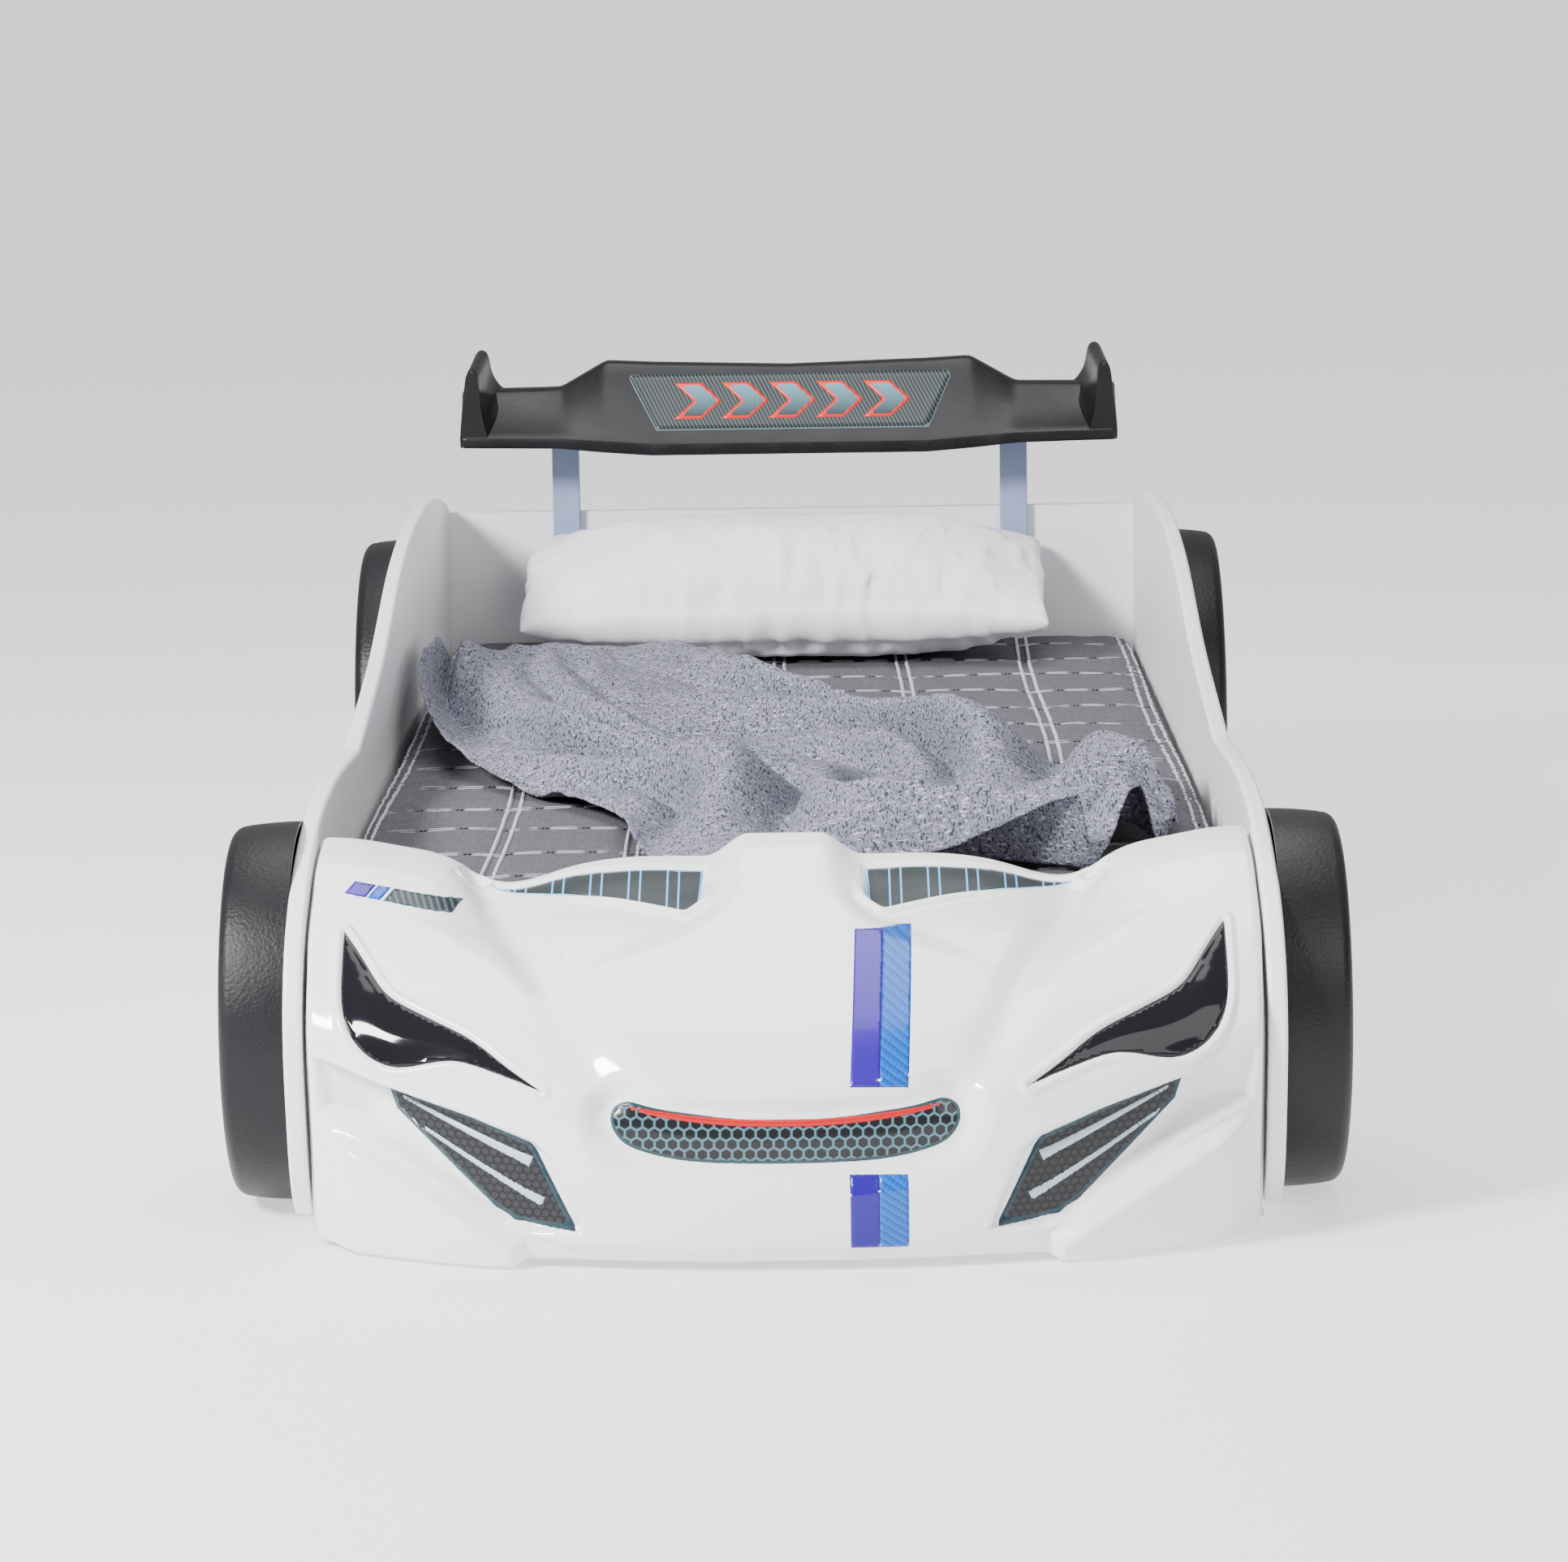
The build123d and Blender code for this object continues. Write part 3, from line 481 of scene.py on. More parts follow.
@dataclass(frozen=True)
class WovenCloth(Finish):
    """Plain weave: raised threads both ways, slubs that lighten and darken single threads."""

    thread: float = 1.6
    slub_colour: str = "#7b787c"
    slub: float = 0.35
    relief: float = 0.25

    def pattern(self, tree: bpy.types.NodeTree) -> dict:
        """Two sets of threads, each with its own slubs."""
        place = self.place(tree, (self.thread,) * 3)
        axes = add_node(tree, "ShaderNodeSeparateXYZ", {0: place})
        heights, slubs = [], []
        for axis, stretch in ((0, (1.0, 0.06, 0.06)), (1, (0.06, 1.0, 0.06))):
            turn = add_node(tree, "ShaderNodeMath", {0: axes.outputs[axis], 1: math.pi}, operation="MULTIPLY")
            sine = add_node(tree, "ShaderNodeMath", {0: turn}, operation="SINE")
            heights.append(add_node(tree, "ShaderNodeMath", {0: sine}, operation="ABSOLUTE"))
            run = add_node(tree, "ShaderNodeVectorMath", {0: place, 1: stretch}, operation="MULTIPLY")
            slubs.append(add_node(tree, "ShaderNodeTexNoise", {"Vector": run, "Scale": 1.0, "Detail": 1.0}))
        height = add_node(tree, "ShaderNodeMath", {0: heights[0], 1: heights[1]}, operation="MULTIPLY")
        slub = add_node(tree, "ShaderNodeMath", {0: slubs[0], 1: slubs[1]}, operation="MULTIPLY")
        fine = add_node(tree, "ShaderNodeMapRange", {0: slub, 1: 0.12, 2: 0.42, 3: 0.0, 4: self.slub * 2})
        colour = add_node(tree, "ShaderNodeMix", {0: fine, 6: linear(self.colour), 7: linear(self.slub_colour)},
                          data_type="RGBA")
        bump = add_node(tree, "ShaderNodeBump", {"Height": height, "Distance": self.relief * MM, "Strength": 1.0})
        return {"Base Color": colour.outputs[2], "Normal": bump}


@dataclass(frozen=True)
class MelangeKnit(Finish):
    """Coarse knit of grey, dark and white yarn twisted together: flecks a few stitches long, soft loops."""

    dark: str = "#3a3a44"
    light: str = "#b4b4c0"
    yarn: float = 2.4            # drawn a little coarser than the real yarn, so that it shows

    def pattern(self, tree: bpy.types.NodeTree) -> dict:
        """Flecks of dark and white yarn over looped relief."""
        place = self.place(tree, (self.yarn,) * 3)
        loops = add_node(tree, "ShaderNodeTexVoronoi", {"Vector": place, "Scale": 1.1})
        colours = linear(self.colour)
        for shade, stretch, start, end in ((self.dark, (2.2, 0.5, 1.2), 0.5, 0.62),
                                           (self.light, (0.5, 2.2, 1.4), 0.57, 0.68)):
            run = add_node(tree, "ShaderNodeVectorMath", {0: place, 1: stretch}, operation="MULTIPLY")
            fleck = add_node(tree, "ShaderNodeTexNoise", {"Vector": run, "Scale": 0.55, "Detail": 2.0})
            share = add_node(tree, "ShaderNodeMapRange", {0: fleck, 1: start, 2: end})
            colours = add_node(tree, "ShaderNodeMix", {0: share, 6: colours, 7: linear(shade)},
                               data_type="RGBA").outputs[2]
        bump = add_node(tree, "ShaderNodeBump", {"Height": loops, "Distance": 0.4 * MM, "Strength": 0.8}, invert=True)
        return {"Base Color": colours, "Normal": bump}


class Print(Enum):
    """What is printed inside a film's border."""

    PLAIN = "plain"
    HEXAGONS = "hexagons"
    BARS = "bars"
    TWILL = "twill"
    HATCH = "hatch"
    FADE = "fade"


@dataclass(frozen=True)
class Film(Finish):
    """Printed film under domed clear resin: flat colours, a printed border, and a wet gloss over them."""

    ink: str = "#6f949e"
    border: str = ""
    border_width: float = 2.0
    motif: Print = Print.PLAIN
    pitch: float = 11.0
    ink_share: float = 0.12
    relief: float = 0.0
    fade: tuple = (0.0, 1.0)     # heights between which a faded colour changes, in millimetres

    def hexagons(self, tree: bpy.types.NodeTree) -> bpy.types.Node:
        """Distance from the middle of the nearest hexagon, 0 to 0.5, over the X-Z plane."""
        cell, half = (1.0, 1.0, math.sqrt(3)), (0.5, 0.0, math.sqrt(3) / 2)
        place = self.place(tree, (self.pitch,) * 3)
        flat = add_node(tree, "ShaderNodeVectorMath", {0: place, 1: (1, 0, 1)}, operation="MULTIPLY")
        nearest = []
        for shift in ((200.0, 0.0, 200 * cell[2]), (200.5, 0.0, 200 * cell[2] + half[2])):
            moved = add_node(tree, "ShaderNodeVectorMath", {0: flat, 1: shift}, operation="ADD")
            within = add_node(tree, "ShaderNodeVectorMath", {0: moved, 1: cell}, operation="MODULO")
            nearest.append(add_node(tree, "ShaderNodeVectorMath", {0: within, 1: half}, operation="SUBTRACT"))
        lengths = [add_node(tree, "ShaderNodeVectorMath", {0: n}, operation="LENGTH").outputs["Value"]
                   for n in nearest]
        first = add_node(tree, "ShaderNodeMath", {0: lengths[0], 1: lengths[1]}, operation="LESS_THAN")
        chosen = add_node(tree, "ShaderNodeMix", {0: first, 4: nearest[1].outputs[0], 5: nearest[0].outputs[0]},
                          data_type="VECTOR")
        size = add_node(tree, "ShaderNodeVectorMath", {0: chosen.outputs[1]}, operation="ABSOLUTE")
        slope = add_node(tree, "ShaderNodeVectorMath", {0: size, 1: (0.5, 0.0, math.sqrt(3) / 2)},
                         operation="DOT_PRODUCT").outputs["Value"]
        across = add_node(tree, "ShaderNodeSeparateXYZ", {0: size})
        return add_node(tree, "ShaderNodeMath", {0: slope, 1: across.outputs[0]}, operation="MAXIMUM")

    def stripes(self, tree: bpy.types.NodeTree, direction: tuple) -> bpy.types.Node:
        """Place between one stripe and the next, 0 to 1, along a direction.

        Args:
            tree: The material's nodes.
            direction: Direction that the stripes repeat along.

        Returns:
            Node whose first output is the place.
        """
        place = self.place(tree, (self.pitch,) * 3)
        along = add_node(tree, "ShaderNodeVectorMath", {0: place, 1: direction},
                         operation="DOT_PRODUCT").outputs["Value"]
        shifted = add_node(tree, "ShaderNodeMath", {0: along, 1: 400.0}, operation="ADD")
        return add_node(tree, "ShaderNodeMath", {0: shifted}, operation="FRACT")

    def share(self, tree: bpy.types.NodeTree) -> bpy.types.Node | None:
        """How much ink shows, from 0 to 1, or None for a plain film."""
        if self.motif is Print.HEXAGONS:
            return add_node(tree, "ShaderNodeMapRange", {0: self.hexagons(tree), 1: 0.47 - self.ink_share,
                                                         2: 0.5 - self.ink_share})
        if self.motif is Print.BARS:
            # Bars in pairs, the same distance from the middle on both sides of the bed.
            place = add_node(tree, "ShaderNodeSeparateXYZ", {0: self.place(tree)})
            out = add_node(tree, "ShaderNodeMath", {0: place}, operation="ABSOLUTE")
            moved = add_node(tree, "ShaderNodeMath", {0: out, 1: self.pitch - 101.0}, operation="ADD")
            within = add_node(tree, "ShaderNodeMath", {0: moved, 1: self.pitch}, operation="FLOORED_MODULO")
            near = [add_node(tree, "ShaderNodeMath", {0: within, 1: at, 2: 0.9}, operation="COMPARE")
                    for at in (1.0, 12.0)]
            return add_node(tree, "ShaderNodeMath", {0: near[0], 1: near[1]}, operation="MAXIMUM")
        if self.motif is Print.TWILL:
            slant, cross = self.stripes(tree, (0.7, 0.0, 1.0)), self.stripes(tree, (1.6, 0.0, -0.9))
            both = add_node(tree, "ShaderNodeMath", {0: cross, 1: 0.35, 2: slant}, operation="MULTIPLY_ADD")
            return add_node(tree, "ShaderNodeMapRange", {0: both, 1: 0.25, 2: 1.1})
        if self.motif is Print.HATCH:
            hatch = self.stripes(tree, (1.0, 0.0, 0.55))
            return add_node(tree, "ShaderNodeMapRange", {0: hatch, 1: self.ink_share, 2: self.ink_share + 0.2,
                                                         3: 1.0, 4: 0.0})
        if self.motif is Print.FADE:
            place = add_node(tree, "ShaderNodeSeparateXYZ", {0: self.place(tree)})
            return add_node(tree, "ShaderNodeMapRange", {0: place.outputs[2], 1: self.fade[0], 2: self.fade[1]})
        return None

    def pattern(self, tree: bpy.types.NodeTree) -> dict:
        """Print the motif, then the border over it."""
        made, share = {}, self.share(tree)
        colour = linear(self.colour)
        if share:
            colour = add_node(tree, "ShaderNodeMix", {0: share, 6: colour, 7: linear(self.ink)},
                              data_type="RGBA").outputs[2]
        if self.relief and share:
            made["Normal"] = add_node(tree, "ShaderNodeBump", {"Height": share, "Distance": self.relief * MM,
                                                               "Strength": 1.0}, invert=True)
        if self.border:
            rim = add_node(tree, "ShaderNodeAttribute", {}, attribute_name="rim_mm")
            edge = add_node(tree, "ShaderNodeMapRange", {0: rim.outputs["Fac"], 1: self.border_width - 0.3,
                                                         2: self.border_width + 0.3, 3: 1.0, 4: 0.0})
            colour = add_node(tree, "ShaderNodeMix", {0: edge, 6: colour, 7: linear(self.border)},
                              data_type="RGBA").outputs[2]
        speck = add_node(tree, "ShaderNodeTexNoise", {"Vector": self.place(tree, (40.0,) * 3), "Scale": 1.0})
        made["Roughness"] = add_node(tree, "ShaderNodeMapRange", {0: speck, 3: self.roughness * 0.7,
                                                                  4: self.roughness * 1.4})
        if not isinstance(colour, tuple):
            made["Base Color"] = colour
        return made


# Vacuum-formed ABS: wet gloss over a surface that waves very slightly, so reflections are soft-edged.
WHITE_ABS = NoisyFinish("gloss white ABS", "#f3f4f6", 0.16, coat=0.35, grain=(55.0, 55.0, 55.0), depth=0.25,
                        second_colour="#eff0f3", uneven=0.04)
# Foil pressed on MDF: satin, with a faint paper texture.
WHITE_FOIL = NoisyFinish("satin white foil", "#f1f1f2", 0.38, grain=(1.6, 1.6, 1.6), depth=0.03,
                         second_colour="#eaebed")
# Blow-moulded polyethylene from a leather-grained mould: dark, with a broad dull shine.
TYRE_PLASTIC = GrainedPlastic("grained black plastic", "#0e0e11", 0.42, shine=0.3)
# Same stuff from a finer mould: almost black, with a tighter highlight.
WING_PLASTIC = GrainedPlastic("moulded black plastic", "#0b0b0d", 0.3, shine=0.3, cell=1.8, depth=0.12)
# Metallic lacquer sprayed on moulded rims: bright flakes under a clear coat.
SILVER_PAINT = NoisyFinish("silver paint", "#b9bcc2", 0.28, metallic=0.85, coat=0.5, grain=(1.0, 1.0, 1.0),
                           depth=0.02, second_colour="#a9adb4")
# Smoked acrylic: black glass look, with sharp reflections.
SMOKED_ACRYLIC = NoisyFinish("smoked acrylic", "#101015", 0.07, ior=1.49, shine=0.35, grain=(90.0, 90.0, 90.0),
                             depth=0.3, second_colour="#17171c", uneven=0.02)
# Printed vinyl under resin: a flat dark print of open hexagons in pale teal lines, smooth and glossy.
GRILLE_FILM = Film("grille film", "#1a1a1d", 0.2, coat=0.15, shine=0.3, ink="#4c707c", border="#264047",
                   border_width=3.0, motif=Print.HEXAGONS, pitch=11.0, ink_share=0.08)
# The same with smaller pressed hexagons: each one catches a little light.
INTAKE_FILM = Film("intake film", "#222226", 0.25, coat=0.15, shine=0.3, ink="#09090b", border="#213943",
                   border_width=4.5, motif=Print.HEXAGONS, pitch=8.0, ink_share=0.1, relief=0.8)
# The same with pairs of thin light blue bars.
VENT_FILM = Film("vent film", "#2b3234", 0.25, coat=0.1, shine=0.3, ink="#5bb4f3", border="#5bb4f3",
                 border_width=2.0, motif=Print.BARS, pitch=37.5)
# Plain dyed vinyl: an even, clear red.
RED_FILM = Film("red film", "#b80812", 0.2, coat=0.2, shine=0.3)
# Dyed vinyl that turns from dark to lighter violet up the nose.
VIOLET_FILM = Film("violet film", "#240a80", 0.2, coat=0.15, shine=0.3, ink="#3c1c98", motif=Print.FADE,
                   fade=(40.0, 290.0))
# Vinyl with a printed twill: slanted steps of two blues.
BLUE_FILM = Film("blue twill film", "#0064c4", 0.2, coat=0.15, shine=0.3, ink="#00449a", motif=Print.TWILL, pitch=8.0)
# Printed vinyl with fine slanted grey lines, thin and even.
SIGN_FILM = Film("sign film", "#1f2527", 0.3, shine=0.3, ink="#535f63", border="#66787b", border_width=1.6,
                 motif=Print.HATCH, pitch=5.2, ink_share=0.14)
# Cut vinyl: dark below and pale blue above, inside a thick red line.
CHEVRON_FILM = Film("chevron film", "#0b0e12", 0.2, shine=0.3, ink="#618fa2", border="#e0241c", border_width=3.2,
                    motif=Print.FADE, fade=(598.0, 640.0))
# Printed vinyl with broad slanted lines.
BADGE_FILM = Film("badge film", "#1e2225", 0.2, shine=0.3, ink="#425963", border="#426470", border_width=1.2,
                  motif=Print.HATCH, pitch=6.0, ink_share=0.3)
# Silver vinyl: pale and smooth, a shade brighter where light falls on it.
BLADE_FILM = Film("silver blade film", "#acbfca", 0.3, coat=0.2)
# Powder coat on steel tube: satin with a very fine orange peel.
POWDER_COAT = NoisyFinish("blue-grey powder coat", "#91a0c2", 0.4, shine=0.4, grain=(1.2, 1.2, 1.2), depth=0.04,
                          second_colour="#8492b3")
# Planed and left bare: warm and dull, with darker growth bands.
PINE = Pine("planed pine", "#d9b483", 0.55)
# Bright zinc over steel: a cold shine with faint yellowish patches.
ZINC = NoisyFinish("zinc-plated steel", "#b4b6ba", 0.32, metallic=1.0, grain=(0.6, 0.6, 0.6), depth=0.02,
                   second_colour="#a09a88", mottle=(6.0, 6.0, 6.0))
# Tightly woven cotton ticking: off-white and quite matt. Its threads are drawn coarser than they are, to show.
TICKING = WovenCloth("mattress ticking", "#dedcd6", 0.85, sheen=0.2, thread=2.0, slub_colour="#c8c5bd")
# Plain-woven cotton, washed soft: matt, with paler slubs. Its threads are drawn coarser than they are, to show.
QUILT = WovenCloth("washed grey cotton", "#565459", 0.85, shine=0.1, thread=1.3, slub_colour="#68666e", slub=0.5)
# Fine cotton percale: almost smooth, with a soft bloom at its edges. Its threads are drawn coarser, to show.
COTTON = WovenCloth("white pillow cotton", "#eff0f3", 0.8, sheen=0.3, thread=1.0, slub_colour="#e2e4e9", slub=0.3,
                    relief=0.06)
# Acrylic and wool yarns of three greys knitted together: speckled and matt.
KNIT = MelangeKnit("grey melange knit", "#787887", 0.9, shine=0.1)
# Embroidery cotton, dyed dark and undyed: thick, matt strands.
DARK_THREAD = WovenCloth("dark stitching thread", "#201f22", 0.8, shine=0.1, thread=0.8, slub_colour="#29282e")
THREAD = WovenCloth("white stitching thread", "#d2d2da", 0.75, thread=0.8, slub_colour="#a6a6b4")


# ---------------------------------------------------------------- nose
Surface = tuple[Array, Array]    # points and outward normals


def film_piece(name: str, outline: Array, spacing: float, surface, thickness: float,
               dome: float = 0.0) -> bpy.types.Object:
    """Cut a film or lens to an outline and lay it on a surface.

    Args:
        name: Name of the piece.
        outline: Closed outline in the surface's own two coordinates, in millimetres.
        spacing: Distance between the mesh's points.
        surface: Function from N rows of two coordinates to points and outward normals.
        thickness: Thickness of the film.
        dome: How far its middle rises over its rounded edge.

    Returns:
        The piece, with each point's distance from the outline as the attribute rim_mm.
    """
    low, high = outline.min(0), outline.max(0)
    row = spacing * math.sqrt(3) / 2
    lattice = np.array([(x + (i % 2) * spacing / 2, y) for i, y in enumerate(np.arange(low[1], high[1], row))
                        for x in np.arange(low[0], high[0], spacing)])
    lattice = lattice[signed_distance(lattice, outline) < -0.55 * spacing]
    flat = np.vstack([outline, lattice])
    ring = len(outline)
    edges = [(i, (i + 1) % ring) for i in range(ring)]
    flat_points, _, faces, *_ = geometry.delaunay_2d_cdt([Vector(p) for p in flat], edges, [], 1, 1e-4)
    flat = np.array([tuple(p) for p in flat_points])
    rim = np.maximum(-signed_distance(flat, outline), 0)
    points, normals = surface(flat)
    corner = max(thickness * 1.5, 1.0)
    rise = dome * smooth_step(0, 30, rim) - 0.6 * thickness * (1 - smooth_step(0, corner, rim))
    points = points + normals * (thickness + rise)[:, None]
    first = list(faces[0])
    side = np.cross(points[first[1]] - points[first[0]], points[first[2]] - points[first[0]])
    if side @ normals[first[0]] < 0:
        faces = turned(faces)
    piece = make_mesh(name, points, [tuple(face) for face in faces], 60)
    attribute = piece.data.attributes.new("rim_mm", "FLOAT", "POINT")
    attribute.data.foreach_set("value", rim.tolist())
    thicken(piece, thickness + 0.4)
    return piece


@dataclass
class Nose:
    """Moulded nose with its lamps, films and stripes, drawn down the slope from its rear edge.

    Its surface has two coordinates: X, and how far down the slope a point lies from the rear edge.
    """

    half_width: float = 452.0
    roundness: float = 2.4       # exponent of the plan curve between middle and sides
    blend_height: float = 250.0  # below this the rear edge's wave has no effect
    wall: float = 3.5
    columns: int = 377
    rows: int = 260
    # Height, reach ahead of the footboard at the sides, reach at the middle.
    stations: tuple = ((4, 200, 330), (25, 210, 342), (70, 220, 352), (120, 230, 354), (170, 240, 344),
                       (215, 240, 306), (260, 210, 238), (300, 168, 155), (332, 105, 75), (352, 50, 25), (360, 0, 0))
    # Distance from the middle and height of the rear edge, without the raised middle.
    rear_edge: tuple = ((0, 338), (86, 338), (158, 337), (215, 327), (286, 317), (325, 338), (372, 351), (418, 359),
                        (452, 361))
    # The valley between bonnet and front wing: height and distance from the middle.
    valley: tuple = ((166, 173), (185, 197), (209, 234), (252, 280), (288, 311))
    headlight_upper: tuple = ((417, 297), (395, 272), (374, 249), (347, 236), (321, 226), (294, 215), (262, 195),
                              (225, 172))
    headlight_lower: tuple = ((225, 172), (243, 179), (278, 190), (307, 196), (341, 191), (359, 188), (379, 191),
                              (399, 204), (410, 220), (416, 242), (417, 270))
    grille_half: float = 164.0
    intake: tuple = ((385, 168), (347, 157), (294, 143), (239, 124), (234, 117), (216, 79), (197, 39), (233, 41),
                     (257, 45), (278, 57), (316, 89), (348, 116), (377, 141))
    recess: tuple = ((446, 196), (385, 174), (294, 149), (234, 129), (219, 117), (203, 84), (184, 36), (240, 33),
                     (268, 41), (330, 82), (378, 110), (440, 138))
    fin: tuple = ((440, 132), (374, 103), (329, 78), (272, 45), (246, 28), (244, 2), (330, 2), (449, 2), (451, 90))
    vent: tuple = ((282, 17), (224, 21), (171, 29), (127, 30), (79, 33), (82, 101), (97, 117), (143, 98), (190, 77),
                   (228, 56))
    lamp_ridge: float = 3.5      # heights and depths of the moulded detail
    lamp_pocket: float = 2.5
    bowl_depth: float = 13.0
    bowl_reach: float = 27.0
    recess_depth: float = 10.0
    recess_outer_depth: float = 21.0
    fin_height: float = 17.0
    vent_pocket: float = 3.5
    vent_lip: float = 5.0
    valley_depth: float = 8.0
    valley_spread: float = 20.0
    chin_step: float = 5.0
    brow_height: float = 2.5
    brow_rise: float = 172.0     # up the slope from the bottom edge
    cup: tuple = (302, 17, 15, 7)        # distance from the middle and down the slope, radius, depth
    dimple: tuple = (318, 34, 5, 2)
    edge_radii: tuple = (7.0, 9.0, 6.0)  # rear edge, sides and bottom edge
    stripe_width: float = 27.0
    stripe_runs: tuple = (((94, 293), (87, 176)), ((86, 94), (86, 21)))

    def __post_init__(self) -> None:
        """Work out the smooth form and the outlines on it."""
        self.foot_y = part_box("footboard")[0].y / MM
        rows = np.array(self.stations, float)
        knots = np.r_[0, np.cumsum(np.hypot(np.diff(rows[:, 0]), np.diff(rows[:, 2])))]
        height, side, middle = cubic(knots, rows, np.linspace(knots[-1], 0, 500)).T
        x = np.linspace(-self.half_width, self.half_width, self.columns)[:, None]
        out = np.abs(x)
        bulge = 1 - (out / self.half_width) ** self.roundness
        reach = side + (middle - side) * bulge
        # The valley runs inwards as it goes down, and carries the rear edge's wave with it.
        valley_x = np.interp(height, [h for _, h in self.valley], [v for v, _ in self.valley])[None]
        widest = self.valley[-1][0]
        edge_x = np.where(out < valley_x, out * widest / valley_x,
                          self.half_width - (self.half_width - out) * (self.half_width - widest)
                          / (self.half_width - valley_x))
        edge = cubic(np.array([e[0] for e in self.rear_edge], float), np.array([[e[1]] for e in self.rear_edge]),
                     edge_x.ravel())[:, 0].reshape(edge_x.shape)
        # The raised middle: steep-sided between the vents, then spread into the bonnet.
        ahead = np.maximum(reach, 0)
        inner = 34 + 60 * smooth_step(60, 260, ahead)
        outer = 78 + 14 * smooth_step(0, 110, ahead) + 150 * smooth_step(110, 260, ahead)
        edge = edge + (360 - edge) * (1 - smooth_step(0, 1, (out - inner) / (outer - inner)))
        top = self.stations[-1][0]
        z = np.where(height > self.blend_height, self.blend_height + (height - self.blend_height)
                     * (edge - self.blend_height) / (top - self.blend_height), height)
        points = np.stack([np.broadcast_to(x, z.shape), self.foot_y - reach, z], axis=2)
        slope = np.concatenate([np.zeros((self.columns, 1)),
                                np.cumsum(np.linalg.norm(np.diff(points, axis=1), axis=2), axis=1)], axis=1)
        self.lengths = slope[:, -1]
        shares = np.linspace(0, 1, self.rows)
        self.points = np.stack([np.stack([np.interp(shares * total, run, column[:, k]) for k in range(3)], axis=1)
                                for total, run, column in zip(self.lengths, slope, points)])
        self.normals = np.cross(np.gradient(self.points, axis=1), np.gradient(self.points, axis=0))
        self.normals /= np.linalg.norm(self.normals, axis=2)[:, :, None]
        self.outlines = {
            "headlight": self.down(curve_through(list(self.headlight_upper), 6)
                                   + curve_through(list(self.headlight_lower), 6)[1:]),
            "grille": self.down(self.grille_outline()),
            "intake": self.down(list(self.intake)),
            "recess": self.down(list(self.recess)),
            "fin": self.down(list(self.fin)),
            "vent": self.down(list(self.vent), ahead=True)}
        self.valley_line = self.down(list(self.valley), closed=False)

    def grille_outline(self) -> Outline:
        """Smiling oval: a sagging upper edge between tall round ends."""
        half = [(0, 149), (45, 150), (92, 156), (134, 164), (151, 167), (161, 161), (164, 149), (160, 135), (150, 124),
                (134, 117), (105, 110), (60, 106), (0, 105)]
        other = [(-x, z) for x, z in half[-2:0:-1]]
        return curve_through(half + other + half[:1], 4.0)[:-1]

    def down(self, outline: Outline, ahead: bool = False, closed: bool = True) -> Array:
        """Move an outline onto the surface's own coordinates.

        Args:
            outline: Points of X and height, or of X and distance ahead of the footboard.
            ahead: The second number is the distance ahead.
            closed: The outline is closed.

        Returns:
            Points of X and distance down the slope.
        """
        result = []
        for x, value in (densify(outline, 4.0) if closed else outline):
            column = int(round((x / self.half_width + 1) / 2 * (self.columns - 1)))
            column = min(max(column, 0), self.columns - 1)
            rows = self.points[column]
            run = np.linspace(0, self.lengths[column], self.rows)
            known = self.foot_y - rows[:, 1] if ahead else -rows[:, 2]
            known = np.maximum.accumulate(known)
            result.append((x, np.interp(value if ahead else -value, known, run)))
        return np.array(result)

    def relief(self, flat: Array) -> Array:
        """How far the moulded detail stands over the smooth form.

        Args:
            flat: N rows of X and distance down the slope.

        Returns:
            N heights along the normal.
        """
        out = np.abs(flat[:, 0])
        here = np.stack([out, flat[:, 1]], axis=1)
        lamp = signed_distance(here, self.outlines["headlight"])
        height = self.lamp_ridge * np.cos(np.clip((lamp - 5) / 6, -1, 1) * np.pi / 2) ** 2
        height -= self.lamp_pocket * smooth_step(1.0, -1.5, lamp)
        bowl = signed_distance(here, self.outlines["grille"])
        height -= self.bowl_depth * smooth_step(self.bowl_reach, 3, bowl)
        height -= 1.5 * smooth_step(self.bowl_reach + 1, self.bowl_reach - 2, bowl)
        recess = signed_distance(here, self.outlines["recess"])
        deep = self.recess_depth + self.recess_outer_depth * smooth_step(200, 430, out)
        fade = 1 - 0.75 * smooth_step(400, 448, out)
        height -= deep * fade * smooth_step(0, -9, recess)
        fin = signed_distance(here, self.outlines["fin"])
        height += self.fin_height * smooth_step(2, -9, fin) * (1 - smooth_step(395, 450, out))
        vent = signed_distance(here, self.outlines["vent"])
        front_lip = smooth_step(60, 110, flat[:, 1])
        height -= self.vent_pocket * smooth_step(4, 1, vent)
        height += self.vent_lip * front_lip * np.cos(np.clip((vent - 8) / 9, -1, 1) * np.pi / 2) ** 2
        valley = line_distance(here, self.valley_line)
        height -= self.valley_depth * np.exp(-(valley / self.valley_spread) ** 2)
        bottom = np.interp(out, self.points[:, 0, 0][self.columns // 2:], self.lengths[self.columns // 2:])
        to_bottom = bottom - flat[:, 1]
        chin = 22 + 12 * smooth_step(190, 250, out)
        height -= self.chin_step * smooth_step(chin + 4, chin - 4, to_bottom) * smooth_step(300, 190, out)
        brow = np.abs(to_bottom - self.brow_rise)
        height += self.brow_height * np.exp(-(brow / 9) ** 2) * smooth_step(250, 190, out)
        for (across, along, radius, depth), floor in ((self.cup, 10), (self.dimple, 2)):
            height -= depth * smooth_step(radius, floor, np.hypot(out - across, flat[:, 1] - along))
        for edge, radius in zip((flat[:, 1], self.half_width - out, to_bottom), self.edge_radii):
            left = np.clip(radius - edge, 0, radius)
            height -= radius - np.sqrt(radius ** 2 - left ** 2)
        return height

